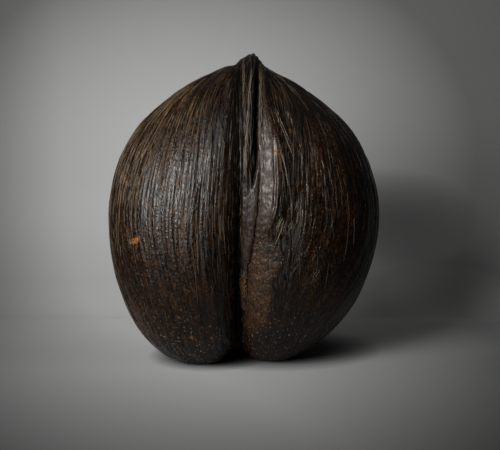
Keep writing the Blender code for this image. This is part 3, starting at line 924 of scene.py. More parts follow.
def streakGroup():
    # noise drawn out along the fibres: Per Metre features across, Stretch times as long. Line is 1
    # along the thin lines where a plainer noise passes its middle: 1 - |noise - 0.5| / Thin
    tree, given, out = newGroup(
        "streaks",
        [("Fibre", "NodeSocketVector", None), ("Per Metre", "NodeSocketFloat", 400.0),
         ("Stretch", "NodeSocketFloat", 14.0), ("Low", "NodeSocketFloat", 0.45),
         ("High", "NodeSocketFloat", 0.65), ("Thin", "NodeSocketFloat", 0.03),
         ("Detail", "NodeSocketFloat", 3.0)],
        [("Mask", "NodeSocketFloat"), ("Height", "NodeSocketFloat"), ("Line", "NodeSocketFloat")],
    )
    apart = addNode(tree, "ShaderNodeSeparateXYZ", {0: given["Fibre"]}).outputs
    long = maths(tree, "DIVIDE", apart[2], given["Stretch"])
    place = addNode(tree, "ShaderNodeCombineXYZ", {0: apart[0], 1: apart[1], 2: long}).outputs[0]
    noise = addNode(
        tree, "ShaderNodeTexNoise",
        {"Vector": place, "Scale": given["Per Metre"], "Detail": given["Detail"], "Roughness": 0.6,
         "Distortion": 0.25},
    ).outputs[0]
    tree.links.new(ranged(tree, noise, given["Low"], given["High"]), out["Mask"])
    tree.links.new(noise, out["Height"])
    plain = addNode(
        tree, "ShaderNodeTexNoise",
        {"Vector": place, "Scale": given["Per Metre"], "Detail": 1.0, "Roughness": 0.4},
    ).outputs[0]
    off = maths(tree, "ABSOLUTE", maths(tree, "SUBTRACT", plain, 0.5))
    tree.links.new(ranged(tree, off, 0.0, given["Thin"], 1.0, 0.0), out["Line"])
    return tree


def patchGroup():
    # soft blotches on Object coordinates
    tree, given, out = newGroup(
        "patches",
        [("Place", "NodeSocketVector", None), ("Per Metre", "NodeSocketFloat", 40.0),
         ("Low", "NodeSocketFloat", 0.45), ("High", "NodeSocketFloat", 0.65),
         ("Detail", "NodeSocketFloat", 4.0)],
        [("Mask", "NodeSocketFloat"), ("Height", "NodeSocketFloat")],
    )
    noise = addNode(
        tree, "ShaderNodeTexNoise",
        {"Vector": given["Place"], "Scale": given["Per Metre"], "Detail": given["Detail"], "Roughness": 0.6},
    ).outputs[0]
    tree.links.new(ranged(tree, noise, given["Low"], given["High"]), out["Mask"])
    tree.links.new(noise, out["Height"])
    return tree


def spotGroup():
    # 1 in the middle of a ragged spot: 1 - |(place + wobble - middle) / half sizes|^2, stretched
    tree, given, out = newGroup(
        "spot",
        [("Place", "NodeSocketVector", None), ("Middle", "NodeSocketVector", None),
         ("Half Sizes", "NodeSocketVector", None), ("Strength", "NodeSocketFloat", 1.0),
         ("Wobble", "NodeSocketFloat", 0.016)],
        [("Mask", "NodeSocketFloat")],
    )
    noise = addNode(
        tree, "ShaderNodeTexNoise",
        {"Vector": given["Place"], "Scale": 260.0, "Detail": 3.0, "Roughness": 0.6},
    ).outputs[1]
    wobble = vectorMaths(tree, "SUBTRACT", noise, (0.5, 0.5, 0.5))
    wobble = vectorMaths(tree, "SCALE", wobble, given["Wobble"])
    ragged = vectorMaths(tree, "ADD", given["Place"], wobble)
    far = farFrom(tree, ragged, given["Middle"], given["Half Sizes"])
    mask = ranged(tree, far, 0.5, 1.5, 1.0, 0.0)
    tree.links.new(maths(tree, "MULTIPLY", mask, given["Strength"]), out["Mask"])
    return tree


streaks, patches, spot = streakGroup(), patchGroup(), spotGroup()


def useGroup(tree, group, inputs):
    # a group's outputs, for these inputs
    return addNode(tree, "ShaderNodeGroup", inputs, node_tree=group).outputs


# The shell: its colours and scars, its patterns and how strongly they show, its gloss and its bumps.
shellFinish = {
    "black": (0.0012, 0.0006, 0.0003),
    "brown": (0.0130, 0.0058, 0.0020),
    "rust": (0.0430, 0.0148, 0.0030),
    "gold": (0.2100, 0.1320, 0.0620),
    "ochre": (0.0560, 0.0215, 0.0055),
    "glint": (0.2700, 0.2300, 0.1850),
    # painted shade in the rib furrows, and the colour of thin dark grain lines
    "furrow": (0.0006, 0.0003, 0.0001),
    "wallDark": (0.0024, 0.0011, 0.0004),
    "wallLight": (0.0440, 0.0195, 0.0062),
    "lipDark": (0.0175, 0.0092, 0.0054),
    "lipLight": (0.0400, 0.0315, 0.0245),
    "keelDark": (0.0045, 0.0028, 0.0017),
    "keelPale": (0.0480, 0.0350, 0.0230),
    "scar": (0.1550, 0.0640, 0.0220),
    # painted shade colour of the sunk lines and the band left of the keel
    "cleft": (0.0012, 0.0006, 0.0003),
    "scars": (                   # middle, half sizes and strength of orange places
        ((-0.1000, -0.0720, 0.1266), (0.0034, 0.0100, 0.0023), 1.0),
        ((-0.0972, -0.0730, 0.1290), (0.0025, 0.0100, 0.0022), 0.9),
        ((-0.1032, -0.0690, 0.1244), (0.0030, 0.0100, 0.0018), 0.7),
        ((-0.0985, -0.0730, 0.1215), (0.0012, 0.0100, 0.0030), 0.3),
        ((0.0300, -0.0840, 0.2085), (0.0040, 0.0200, 0.0044), 0.55),
        ((0.0330, -0.0840, 0.1990), (0.0014, 0.0200, 0.0080), 0.35),
        ((0.0420, -0.0800, 0.2270), (0.0034, 0.0200, 0.0030), 0.40),
        ((-0.0486, -0.0670, 0.0345), (0.0022, 0.0060, 0.0026), 0.55),
        ((-0.0300, -0.0630, 0.0340), (0.0020, 0.0060, 0.0016), 0.45),
    ),
    "rustPatches": (             # the same for patches of dull rust
        ((-0.0530, -0.0880, 0.1820), (0.0070, 0.0200, 0.0120), 0.9),
        ((-0.0660, -0.0880, 0.1560), (0.0040, 0.0200, 0.0140), 0.7),
        ((-0.0520, -0.0880, 0.1200), (0.0110, 0.0200, 0.0070), 0.7),
        ((-0.0458, -0.0880, 0.1267), (0.0042, 0.0200, 0.0040), 1.0),
        ((-0.0600, -0.0800, 0.2180), (0.0180, 0.0300, 0.0080), 0.8),
        ((0.0680, -0.0800, 0.1840), (0.0060, 0.0300, 0.0120), 0.9),
        ((0.0520, -0.0880, 0.1500), (0.0060, 0.0200, 0.0110), 0.8),
        ((0.0430, -0.0860, 0.2280), (0.0060, 0.0300, 0.0060), 0.9),
        ((-0.0140, -0.0700, 0.0980), (0.0100, 0.0300, 0.0120), 0.6),
        ((0.0560, -0.0700, 0.0880), (0.0070, 0.0300, 0.0100), 0.7),
    ),
}
streakPatterns = {
    "broad": {"Per Metre": 240.0, "Stretch": 5.0, "Low": 0.46, "High": 0.60},
    "hair": {"Per Metre": 330.0, "Stretch": 8.0, "Low": 0.52, "High": 0.60, "Thin": 0.035},
    "thin": {"Per Metre": 460.0, "Stretch": 5.0, "Low": 0.43, "High": 0.58, "Detail": 1.2},
    "lines": {"Per Metre": 300.0, "Stretch": 7.0, "Low": 0.44, "High": 0.56, "Thin": 0.045},
}
patchPatterns = {
    "blotch": {"Per Metre": 38.0, "Low": 0.50, "High": 0.60},
    "speck": {"Per Metre": 260.0, "Low": 0.48, "High": 0.66},
    "mottle": {"Per Metre": 120.0, "Low": 0.50, "High": 0.60},
    "broken": {"Per Metre": 170.0, "Low": 0.45, "High": 0.58},
    "grain": {"Per Metre": 480.0, "Low": 0.42, "High": 0.58, "Detail": 0.6},
    "dent": {"Per Metre": 250.0, "Low": 0.53, "High": 0.66, "Detail": 1.0},
}
shellShares = {                  # a share, or a pattern's low and high value and what they turn into
    "grain": (0.38, 0.62, 0.15, 1.25),
    "speck": (0.40, 0.60, 0.05, 1.0),
    "blotch": 0.7,
    "mottle": 0.55,
    "hairOnWorn": (0.0, 0.8, 0.12, 0.9),
    # painted shade: how far the dull strip's colour goes to black
    "dullShadeStrip": 0.45,
    "ochre": (0.02, 0.06),       # how far right gold turns into ochre
    "wallGrain": (0.0, 1.0, 0.3, 1.0),
    "wallBlotch": (0.35, 0.6, 0.15, 1.0),
    "furrow": 0.85,
    "lines": 0.6,
    "furrowOnLip": 0.25,
    "glint": 0.45,
    "glintGrain": (0.695, 0.72),
    "glintHeight": (0.012, 0.070, 1.0, 0.0),
    "patchWobble": 0.018,
    "scarWobble": 0.005,
}
shellGloss = {                   # roughness; a pair is for the valleys and the backs of the fibres
    "fibre": (0.255, 0.155),
    "rust": 0.45,
    "furrow": 0.55,
    "pale": 0.40,
    "dullShadeStrip": (0.62, 0.19),
    "keel": 0.50,
    "dent": 0.50,
    "lip": (0.30, 0.55),
    "wornLip": 0.20,
    "wall": 0.45,
    "paintedShade": 0.42,
    "level": 0.24,               # strength of the reflection, and its colour
    "tint": (1.0, 0.975, 0.945, 1.0),
}
shellBumps = {                   # how much each pattern is worth beside the grain, and where less
    "thin": 1.25, "lines": 0.5, "dent": 0.45, "onLip": 0.85, "dullShadeStrip": 0.5,
    "distance": 0.00034, "strength": 0.9,
}


def allSpots(tree, place, spots, wobble):
    # the strongest of the spots
    masks = []
    for middle, halfSizes, strength in spots:
        inputs = {"Place": place, "Middle": middle, "Half Sizes": halfSizes, "Strength": strength}
        masks.append(useGroup(tree, spot, inputs | {"Wobble": wobble})["Mask"])
    return strongest(tree, *masks)


def shellColour(tree, finish, marks):
    # dark fibre colours, then over them rust, painted shade in the dull strip beside the cleft, gold lines,
    # keel, lip, wall, furrows darkened as painted shade with thin dark lines, painted shade in the sunk
    # lines and left of the keel, glints low down and scars
    place, shares = marks["place"], shellShares
    grained = ranged(tree, marks["grain"]["Height"], *shares["grain"])
    colour = mixed(tree, times(tree, marks["thin"]["Mask"], grained), finish["black"], finish["brown"])
    rust = strongest(
        tree, times(tree, marks["blotch"]["Mask"], shares["blotch"]),
        times(tree, marks["worn"], marks["broad"]["Mask"]),
        times(tree, marks["mottle"]["Mask"], shares["mottle"]),
        allSpots(tree, place, finish["rustPatches"], shares["patchWobble"]),
    )
    rust = times(tree, rust, ranged(tree, marks["speck"]["Height"], *shares["speck"]), grained)
    colour = mixed(tree, rust, colour, finish["rust"])
    # painted shade: the strip beside the cleft darkened towards black
    colour = mixed(tree, times(tree, marks["dullShade"], shares["dullShadeStrip"]), colour, finish["black"])
    onWorn = ranged(tree, marks["worn"], *shares["hairOnWorn"])
    hair = times(tree, marks["hair"]["Line"], marks["hair"]["Mask"], onWorn)
    pale = strongest(tree, hair, times(tree, marks["gold"], marks["broken"]["Mask"]))
    aside = ranged(tree, axisOf(tree, place, 0), *shares["ochre"])
    colour = mixed(tree, pale, colour, mixed(tree, aside, finish["gold"], finish["ochre"]))
    rope = times(tree, marks["thin"]["Mask"], marks["lines"]["Mask"])
    colour = mixed(tree, marks["keel"], colour, mixed(tree, rope, finish["keelDark"], finish["keelPale"]))
    smooth = times(tree, marks["broad"]["Mask"], marks["grain"]["Mask"])
    colour = mixed(tree, marks["lip"], colour, mixed(tree, smooth, finish["lipDark"], finish["lipLight"]))
    rough = ranged(tree, marks["grain"]["Mask"], *shares["wallGrain"])
    rough = times(tree, rough, ranged(tree, marks["blotch"]["Height"], *shares["wallBlotch"]))
    colour = mixed(tree, marks["wall"], colour, mixed(tree, rough, finish["wallDark"], finish["wallLight"]))
    # the rib furrows darkened as painted shade, and thin dark lines of the grain
    lines = times(tree, marks["lines"]["Line"], shares["lines"])
    valley = strongest(tree, times(tree, marks["furrow"], shares["furrow"]), lines)
    smoothed = strongest(tree, marks["lip"], marks["wall"])
    valley = times(tree, valley, ranged(tree, smoothed, 0.0, 1.0, 1.0, shares["furrowOnLip"]))
    colour = mixed(tree, valley, colour, finish["furrow"])
    colour = mixed(tree, marks["paintedShade"], colour, finish["cleft"])
    low = ranged(tree, axisOf(tree, place, 2), *shares["glintHeight"])
    glint = times(tree, ranged(tree, marks["grain"]["Height"], *shares["glintGrain"]), low, shares["glint"])
    colour = mixed(tree, glint, colour, finish["glint"])
    scar = times(tree, allSpots(tree, place, finish["scars"], shares["scarWobble"]), grained)
    return mixed(tree, scar, colour, finish["scar"]), pale, rust


def shellMaterial(finish, gloss, bumps):
    # glossy on the fibres and dull in the furrows, the wall and rust; in the strip beside the cleft
    # only the backs of the fibres are glossy. Fine bumps run along the fibres
    material = bpy.data.materials.new("shell polished fibre")
    material.use_nodes = True
    tree = material.node_tree
    shader = tree.nodes["Principled BSDF"]
    marks = {
        name: attribute(tree, name)
        for name in ("furrow", "lip", "wall", "keel", "paintedShade", "gold", "worn", "dullShade")
    }
    fibre = attribute(tree, "fibre", "Vector")
    place = addNode(tree, "ShaderNodeTexCoord", {}).outputs["Object"]
    marks |= {name: useGroup(tree, streaks, {"Fibre": fibre} | own) for name, own in streakPatterns.items()}
    marks |= {name: useGroup(tree, patches, {"Place": place} | own) for name, own in patchPatterns.items()}
    marks["place"] = place
    colour, pale, rust = shellColour(tree, finish, marks)
    tree.links.new(colour, shader.inputs["Base Color"])
    thin, dent = marks["thin"]["Height"], marks["dent"]
    lip = ranged(tree, dent["Height"], 0.4, 0.6, *gloss["lip"])
    layers = (                   # share and roughness of each, from the lowest to the topmost
        (rust, gloss["rust"]),
        (marks["furrow"], gloss["furrow"]),
        (pale, gloss["pale"]),
        (times(tree, marks["dullShade"], 0.9), ranged(tree, thin, 0.45, 0.56, *gloss["dullShadeStrip"])),
        (marks["keel"], gloss["keel"]),
        (times(tree, dent["Mask"], 0.5), gloss["dent"]),
        (marks["lip"], blended(tree, marks["worn"], lip, gloss["wornLip"])),
        (marks["wall"], gloss["wall"]),
        (marks["paintedShade"], gloss["paintedShade"]),
    )
    roughness = ranged(tree, thin, 0.35, 0.65, *gloss["fibre"])
    for share, own in layers:
        roughness = blended(tree, share, roughness, own)
    tree.links.new(roughness, shader.inputs["Roughness"])
    shader.inputs["Specular IOR Level"].default_value = gloss["level"]
    shader.inputs["Specular Tint"].default_value = gloss["tint"]
    height = maths(tree, "ADD", times(tree, thin, bumps["thin"]), marks["grain"]["Height"])
    height = maths(tree, "SUBTRACT", height, times(tree, marks["lines"]["Line"], bumps["lines"]))
    height = maths(tree, "SUBTRACT", height, times(tree, dent["Mask"], bumps["dent"]))
    height = times(tree, height, ranged(tree, marks["lip"], 0.0, 1.0, 1.0, bumps["onLip"]))
    height = times(tree, height, ranged(tree, marks["dullShade"], 0.0, 1.0, 1.0, bumps["dullShadeStrip"]))
    inputs = {"Height": height, "Distance": bumps["distance"], "Strength": bumps["strength"]}
    tree.links.new(addNode(tree, "ShaderNodeBump", inputs).outputs[0], shader.inputs["Normal"])
    return material


# The loose fibres: the darkest and the palest colour of each kind, and its roughness.
fibreFinishes = {
    "keel strand": ((0.0045, 0.0028, 0.0016), (0.1050, 0.0780, 0.0510), 0.55),
    "pale fibre": ((0.0240, 0.0125, 0.0055), (0.1800, 0.1200, 0.0640), 0.45),
    "long fibre": ((0.0500, 0.0330, 0.0190), (0.3400, 0.2750, 0.1950), 0.45),
    "golden tuft": ((0.0160, 0.0070, 0.0022), (0.2100, 0.1000, 0.0300), 0.60),
    "red fibre": ((0.0130, 0.0042, 0.0012), (0.0850, 0.0270, 0.0080), 0.60),
    "wall mat": ((0.0050, 0.0025, 0.0012), (0.0430, 0.0225, 0.0100), 0.60),
}
fibrePattern = {"Per Metre": 700.0, "Stretch": 10.0, "Low": 0.38, "High": 0.66}


def fibreMaterial(name, first, second, roughness):
    # colour changes from fibre to fibre by its own number, and along it by noise
    material = bpy.data.materials.new(name)
    material.use_nodes = True
    tree = material.node_tree
    shader = tree.nodes["Principled BSDF"]
    tint = attribute(tree, "tint")
    thin = useGroup(tree, streaks, {"Fibre": attribute(tree, "fibre", "Vector")} | fibrePattern)
    share = times(tree, tint, ranged(tree, thin["Mask"], 0.0, 1.0, 0.35, 1.0))
    tree.links.new(mixed(tree, share, first, second), shader.inputs["Base Color"])
    shader.inputs["Roughness"].default_value = roughness
    shader.inputs["Specular IOR Level"].default_value = 0.30
    bump = addNode(tree, "ShaderNodeBump", {"Height": thin["Height"], "Distance": 0.0004, "Strength": 0.8})
    tree.links.new(bump.outputs[0], shader.inputs["Normal"])
    return material


shell = shellMaterial(shellFinish, shellGloss, shellBumps)
fibreMaterials = {name: fibreMaterial(name, *finish) for name, finish in fibreFinishes.items()}
print("materials made")

skin = writeMesh(
    "nut_skin", keptVertices(skinPoints, skinKept), wrappedTriangles(keptIndex(skinKept)),
    {name: keptVertices(values, skinKept) for name, values in skinFields.items()}
    | {"fibre": keptVertices(skinFibre, skinKept)},
    shell,
)
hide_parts("nut")
print("skin", len(skin.data.polygons), "triangles")


def closedSheet(points):
    # a grid's quads, and a cone from its border to one point inside, so that the sheet is closed
    rows, columns = points.shape[:2]
    index = np.arange(rows * columns).reshape(rows, columns)
    faces = cellTriangles(index[:-1, :-1], index[1:, :-1], index[1:, 1:], index[:-1, 1:])
    border = np.concatenate([index[:-1, 0], index[-1, :-1], index[::-1, -1][:-1], index[0, ::-1][:-1]])
    apex = np.full(len(border), rows * columns)
    cone = np.stack([np.roll(border, -1), border, apex], axis=-1)
    return np.concatenate([faces, cone])


def addApex(values, apex):
    # one more entry for the point inside
    flat = values.reshape(-1, *values.shape[2:])
    return np.concatenate([flat, np.asarray(apex, float).reshape(1, *flat.shape[1:])])


insidePoint = np.array([0.005, -0.02, 0.150])  # in the nut, well behind the face
face = writeMesh(
    "cleft_face", addApex(facePoints, insidePoint), closedSheet(facePoints),
    {name: addApex(values, 0.0) for name, values in faceFields.items()}
    | {"fibre": addApex(faceFibre, (0.0, 0.0, 0.0))},
    shell,
)
print("cleft face", len(face.data.polygons), "triangles")


def sweepTubes(name, paths, ups, halfWidths, halfHeights, sides, tints, material):
    # section w cos t across and h sin t up, carried along every path at once, with closed ends. The
    # fibre attribute is the place round the section and the length, each tube's in a spot of its own
    count, stations = paths.shape[:2]
    tangents = unit(np.gradient(paths, axis=1))
    across = unit(np.cross(tangents, ups))
    up = unit(np.cross(across, tangents))
    turn = np.linspace(0.0, 2.0 * np.pi, sides, endpoint=False)
    rings = (
        paths[:, :, None]
        + across[:, :, None] * (halfWidths[..., None] * np.cos(turn))[..., None]
        + up[:, :, None] * (halfHeights[..., None] * np.sin(turn))[..., None]
    )
    vertices = np.concatenate([rings.reshape(count, -1, 3), paths[:, :1], paths[:, -1:]], axis=1)
    perTube = stations * sides + 2
    ring = np.arange(stations * sides).reshape(stations, sides)
    beside = np.roll(ring, -1, axis=1)
    side = cellTriangles(ring[:-1], beside[:-1], beside[1:], ring[1:])
    first = np.stack([np.full(sides, perTube - 2), beside[0], ring[0]], axis=-1)
    last = np.stack([np.full(sides, perTube - 1), ring[-1], beside[-1]], axis=-1)
    one = np.concatenate([side, first, last])
    faces = (one[None] + np.arange(count)[:, None, None] * perTube).reshape(-1, 3)
    length = np.cumsum(np.linalg.norm(np.diff(paths, axis=1), axis=-1), axis=1)
    length = np.concatenate([np.zeros((count, 1)), length], axis=1)
    around = np.stack([0.002 * np.cos(turn), 0.002 * np.sin(turn)], axis=-1)
    own = 0.013 * np.arange(count)
    fibre = np.zeros((count, stations, sides, 3))
    fibre[..., 0] = around[None, None, :, 0] + own[:, None, None]
    fibre[..., 1] = around[None, None, :, 1]
    fibre[..., 2] = length[..., None]
    ends = np.zeros((count, 2, 3))
    ends[..., 0] = own[:, None]
    ends[:, 1, 2] = length[:, -1]
    fibre = np.concatenate([fibre.reshape(count, -1, 3), ends], axis=1)
    tint = np.repeat(tints, perTube)
    piece = writeMesh(
        name, vertices.reshape(-1, 3), faces, {"fibre": fibre.reshape(-1, 3), "tint": tint}, material
    )
    print(name, len(piece.data.polygons), "triangles")
    return piece


def gridSample(values, row, column, wrap):
    # straight between the four grid points around each place
    rows, columns = values.shape[:2]
    low = np.clip(np.floor(row).astype(int), 0, rows - 2)
    left = np.floor(column).astype(int)
    if not wrap:
        left = np.clip(left, 0, columns - 2)
    down, over = (row - low)[..., None], (column - left)[..., None]
    beside = left + 1
    if wrap:
        left, beside = left % columns, beside % columns
    upper = values[low, left] * (1.0 - over) + values[low, beside] * over
    lower = values[low + 1, left] * (1.0 - over) + values[low + 1, beside] * over
    return upper * (1.0 - down) + lower * down


# Rope strands of the keel, in tracks. The stations of a track are (height, how far right).
ropeStrands = {
    "firstTilt": 4.0, "lastTilt": 60.0, "stations": 120, "sides": 10, "seed": 31,
    "threads": 4,                # in each track, and their half widths as shares of the track's
    "threadWidth": (0.34, 0.60),
    "swing": 0.85,               # how far they wind to the side, as a share of the same
    "sunk": 0.0016,              # how deep they lie at the tip, and how far they rise below it
    "rise": 0.0018,
    "riseTilts": (2.0, 22.0),
    "heave": 0.0005,             # waves up and down, and how far the ends dive
    "dive": 0.0025,
    "tracks": (                  # stations, half width, share of the way down, paleness
        (((0.295, 0.0000), (0.273, 0.0001), (0.258, -0.0002), (0.243, -0.0002)), 0.0009, 0.58, 0.95),
        (((0.295, 0.0088), (0.277, 0.0080), (0.262, 0.0056), (0.243, 0.0044), (0.224, 0.0040),
          (0.209, 0.0018), (0.180, 0.0018), (0.165, 0.0030)), 0.0010, 1.10, 1.10),
        (((0.295, 0.0060), (0.277, 0.0086), (0.240, 0.0076), (0.199, 0.0064)), 0.0012, 0.95, 0.12),
        (((0.295, 0.0160), (0.260, 0.0154), (0.230, 0.0158), (0.217, 0.0150)), 0.0010, 0.72, 0.70),
        (((0.295, 0.0035), (0.270, 0.0034), (0.240, 0.0022), (0.205, 0.0026)), 0.0012, 0.80, 0.06),
    ),
}


def buildRopes(ropes):
    # each track splits into threads that wind round it and lie on the cleft face
    random = np.random.default_rng(ropes["seed"])
    paths, ups, widths, tints = [], [], [], []
    stations = ropes["stations"]
    for track, halfWidth, reachDown, paleness in ropes["tracks"]:
        height, right = np.array(track)[::-1].T
        for thread in range(ropes["threads"]):
            last = ropes["firstTilt"] + (ropes["lastTilt"] - ropes["firstTilt"]) * reachDown
            last = last * random.uniform(0.75, 1.0)
            tilt = np.radians(np.linspace(ropes["firstTilt"] + random.uniform(0, 7), last, stations))
            share = np.linspace(0.0, 1.0, stations)
            phase = thread * 1.6 + random.uniform(0.0, 1.0)
            swing = halfWidth * ropes["swing"] * np.cos(phase + share * random.uniform(5.0, 9.0))
            swing += 0.0003 * np.sin(share * 41.0 + phase * 3.0)
            points, directions = frontPoints(lambda z: np.interp(z, height, right) + swing, tilt)
            parts = faceParts(points[..., 0], points[..., 2], 0.0005)
            relief = mainRelief(points) + faceRecess(parts)
            relief += ropes["rise"] * fade(np.degrees(tilt), *ropes["riseTilts"]) - ropes["sunk"]
            relief += ropes["heave"] * np.sin(phase + share * 7.0) - ropes["dive"] * fade(share, 0.88, 1.0)
            paths.append(points + directions * relief[..., None])
            ups.append(directions)
            thick = halfWidth * random.uniform(*ropes["threadWidth"])
            thick = thick * (1.0 + 0.18 * np.sin(share * 29.0 + phase) + 0.12 * np.sin(share * 67.0))
            widths.append(thick * (1.0 - 0.8 * fade(share, 0.9, 1.0)))
            tints.append(paleness * random.uniform(0.35, 1.2))
    widths = np.array(widths)
    return sweepTubes(
        "keel_ropes", np.array(paths) + placeShift, np.array(ups), widths, widths * 0.85,
        ropes["sides"], np.array(tints), fibreMaterials["keel strand"],
    )


buildRopes(ropeStrands)


# Blunt broken ends of strands that stand up round the tip: right, back, height of the foot and of
# the top, half width.
tipStubs = {
    "stations": 12, "sides": 12, "seed": 37,
    "stubs": (
        (-0.0034, -0.0030, 0.2800, 0.2908, 0.0028), (0.0000, 0.0005, 0.2830, 0.2912, 0.0030),
        (-0.0036, 0.0040, 0.2790, 0.2890, 0.0030), (0.0028, -0.0028, 0.2840, 0.2936, 0.0028),
        (0.0040, 0.0030, 0.2850, 0.2944, 0.0030), (0.0062, -0.0026, 0.2860, 0.2966, 0.0028),
        (0.0084, 0.0010, 0.2860, 0.2978, 0.0030), (0.0100, -0.0036, 0.2850, 0.2962, 0.0026),
        (0.0122, -0.0004, 0.2840, 0.2950, 0.0028), (0.0146, -0.0024, 0.2790, 0.2910, 0.0026),
        (0.0164, 0.0020, 0.2780, 0.2880, 0.0026), (0.0060, 0.0080, 0.2840, 0.2945, 0.0030),
    ),
}


def buildStubs(ends):
    # straight up from foot to top with a lean and a ripple, thicker at the foot and blunt at the top
    right, back, foot, top, halfWidth = np.array(ends["stubs"]).T[:, :, None]
    random = np.random.default_rng(ends["seed"])
    share = np.linspace(0.0, 1.0, ends["stations"])[None, :]
    lean = random.normal(0.0, 0.0009, (len(right), 2, 1))
    x = right + lean[:, 0] * share**2
    y = back + lean[:, 1] * share**2
    paths = np.stack([x, y, foot + (top - foot) * share], axis=-1)
    ripple = 1.0 + 0.05 * np.sin(share * 9.0 + 9.0 * random.random((len(right), 1)))
    widths = halfWidth * ripple * (1.25 - 0.35 * share) * np.sqrt(np.clip(1.02 - share**6, 0.0, 1.0))
    ups = np.zeros(paths.shape)
    ups[..., 1] = -1.0
    return sweepTubes(
        "tip_stubs", paths + placeShift, ups, widths, widths * 0.8, ends["sides"],
        random.uniform(0.0, 0.3, len(right)), fibreMaterials["keel strand"],
    )


buildStubs(tipStubs)


# Pale fibres that lie along the ribs, a little aslant.
paleFibres = {
    "seed": 51, "count": 1000, "stations": 12, "sides": 4, "rows": (1.8, 11.0),
    "halfWidth": (0.00009, 0.00026), "slant": 8.0,
    "bareRows": (9, 18),         # rows without fibres at the tip and at the crotch
}


def buildPaleFibres(fibres):
    # paths in the skin's rows and columns, drawn where the skin is worn, lifted a hair above it
    random = np.random.default_rng(fibres["seed"])
    rows, columns = skinPoints.shape[:2]
    weight = (0.12 + skinFields["worn"]) * (1.0 - np.clip(skinFields["wall"] + skinFields["lip"], 0, 1))
    weight = weight * np.linalg.norm(np.roll(skinPoints, -1, axis=1) - skinPoints, axis=-1)
    weight[:fibres["bareRows"][0]] = 0.0
    weight[-fibres["bareRows"][1]:] = 0.0
    weight = weight * (skinPoints[..., 2] > 0.02) * (1.0 - 0.7 * fade(skinPoints[..., 0], 0.02, 0.05))
    weight = weight * (0.35 + 0.65 * fade(skinPoints[..., 2], 0.08, 0.14))
    chosen = random.choice(rows * columns, fibres["count"], p=(weight / weight.sum()).ravel())
    row, column = (chosen // columns).astype(float), (chosen % columns).astype(float)
    share = np.linspace(-0.5, 0.5, fibres["stations"])[None, :]
    shortest, longest = fibres["rows"]
    length = shortest + (longest - shortest) * random.random(fibres["count"])[:, None] ** 2
    drift = random.normal(0.0, fibres["slant"] * 0.25, fibres["count"])[:, None]
    bend = random.normal(0.0, 1.2, fibres["count"])[:, None]
    rowPath = np.clip(row[:, None] + share * length, 1.0, rows - 3.0)
    columnPath = column[:, None] + share * drift + bend * (share**2) * 4.0
    base = gridSample(skinPoints, rowPath, columnPath, True)
    ups = unit(gridSample(skinNormals, rowPath, columnPath, True))
    width = random.uniform(*fibres["halfWidth"], fibres["count"])[:, None]
    width = width * np.sqrt(np.clip(1.0 - (2.0 * share) ** 4, 0.03, 1.0))
    tint = random.uniform(0.1, 1.0, fibres["count"]) * (1.0 - 0.6 * fade(base[:, 5, 0], 0.01, 0.05))
    # fibres in the dull strip are dimmed with its painted shade
    tint = tint * (0.45 + 0.55 * fade(base[:, 5, 2], 0.08, 0.14)) * (1.0 - 0.4 * dullShadeShare(base[:, 5]))
    return sweepTubes(
        "pale_fibres", base + ups * (width * 0.35)[..., None], ups, width, width * 0.8,
        fibres["sides"], tint, fibreMaterials["pale fibre"],
    )


buildPaleFibres(paleFibres)


# Long pale fibres that bow round the lip on the right lobe, and short ones below it, as (height,
# how far right).
longFibres = {
    "seed": 81, "copies": 4, "stations": 60, "sides": 5, "apart": 0.0026, "halfWidth": (0.00008, 0.00017),
    "tracks": (
        ((0.2596, 0.0216), (0.2460, 0.0261), (0.2344, 0.0306), (0.2227, 0.0360), (0.2063, 0.0424),
         (0.1917, 0.0496), (0.1849, 0.0532)),
        ((0.2412, 0.0198), (0.2286, 0.0234), (0.2082, 0.0300), (0.1995, 0.0328), (0.1888, 0.0357),
         (0.1772, 0.0380), (0.1684, 0.0380), (0.1616, 0.0362), (0.1549, 0.0326)),
        ((0.2480, 0.0406), (0.2363, 0.0460), (0.2208, 0.0514), (0.2072, 0.0550), (0.1946, 0.0586),
         (0.1820, 0.0613), (0.1723, 0.0632)),
        ((0.2489, 0.0252), (0.2383, 0.0279), (0.2286, 0.0297), (0.2160, 0.0340)),
        ((0.1461, 0.0378), (0.1384, 0.0351), (0.1267, 0.0315), (0.1190, 0.0297)),
        ((0.1640, 0.0480), (0.1560, 0.0440), (0.1480, 0.0395)),
        ((0.1510, 0.0328), (0.1403, 0.0288), (0.1290, 0.0248)),
        ((0.1470, 0.0466), (0.1380, 0.0418), (0.1310, 0.0384)),
    ),
}


def buildLongFibres(fibres):
    # each track copied a little to the side, with its ends cut back and a slight waver
    random = np.random.default_rng(fibres["seed"])
    share = np.linspace(0.0, 1.0, fibres["stations"])
    right, up = [], []
    for track in fibres["tracks"]:
        height, across = np.array(track).T
        known = np.linspace(0.0, 1.0, len(track))
        for _ in range(fibres["copies"]):
            part = random.uniform(0.0, 0.35) + share * random.uniform(0.35, 0.65)
            waver = 0.0004 * np.sin(part * random.uniform(6.0, 14.0) + random.uniform(0.0, 6.0))
            up.append(np.interp(part, known, height))
            right.append(np.interp(part, known, across) + random.normal(0.0, fibres["apart"]) + waver)
    right, up = np.array(right), np.array(up)
    middle = nutShape["middle"]
    tilt = np.full(up.shape, np.pi / 2)
    for _ in range(8):
        points, directions = frontPoints(lambda height: right, tilt)
        tilt = np.arctan2(-(points[..., 1] - middle[1]), up - middle[2])
    parts = faceParts(points[..., 0], points[..., 2], 0.0005)
    paths = points + directions * (mainRelief(points) + faceRecess(parts))[..., None]
    width = random.uniform(*fibres["halfWidth"], (len(up), 1))
    widths = width * np.sqrt(np.clip(1.0 - (2.0 * share - 1.0) ** 4, 0.03, 1.0))
    return sweepTubes(
        "long_fibres", paths + placeShift, directions, widths, widths, fibres["sides"],
        random.uniform(0.2, 1.0, len(up)), fibreMaterials["long fibre"],
    )


buildLongFibres(longFibres)


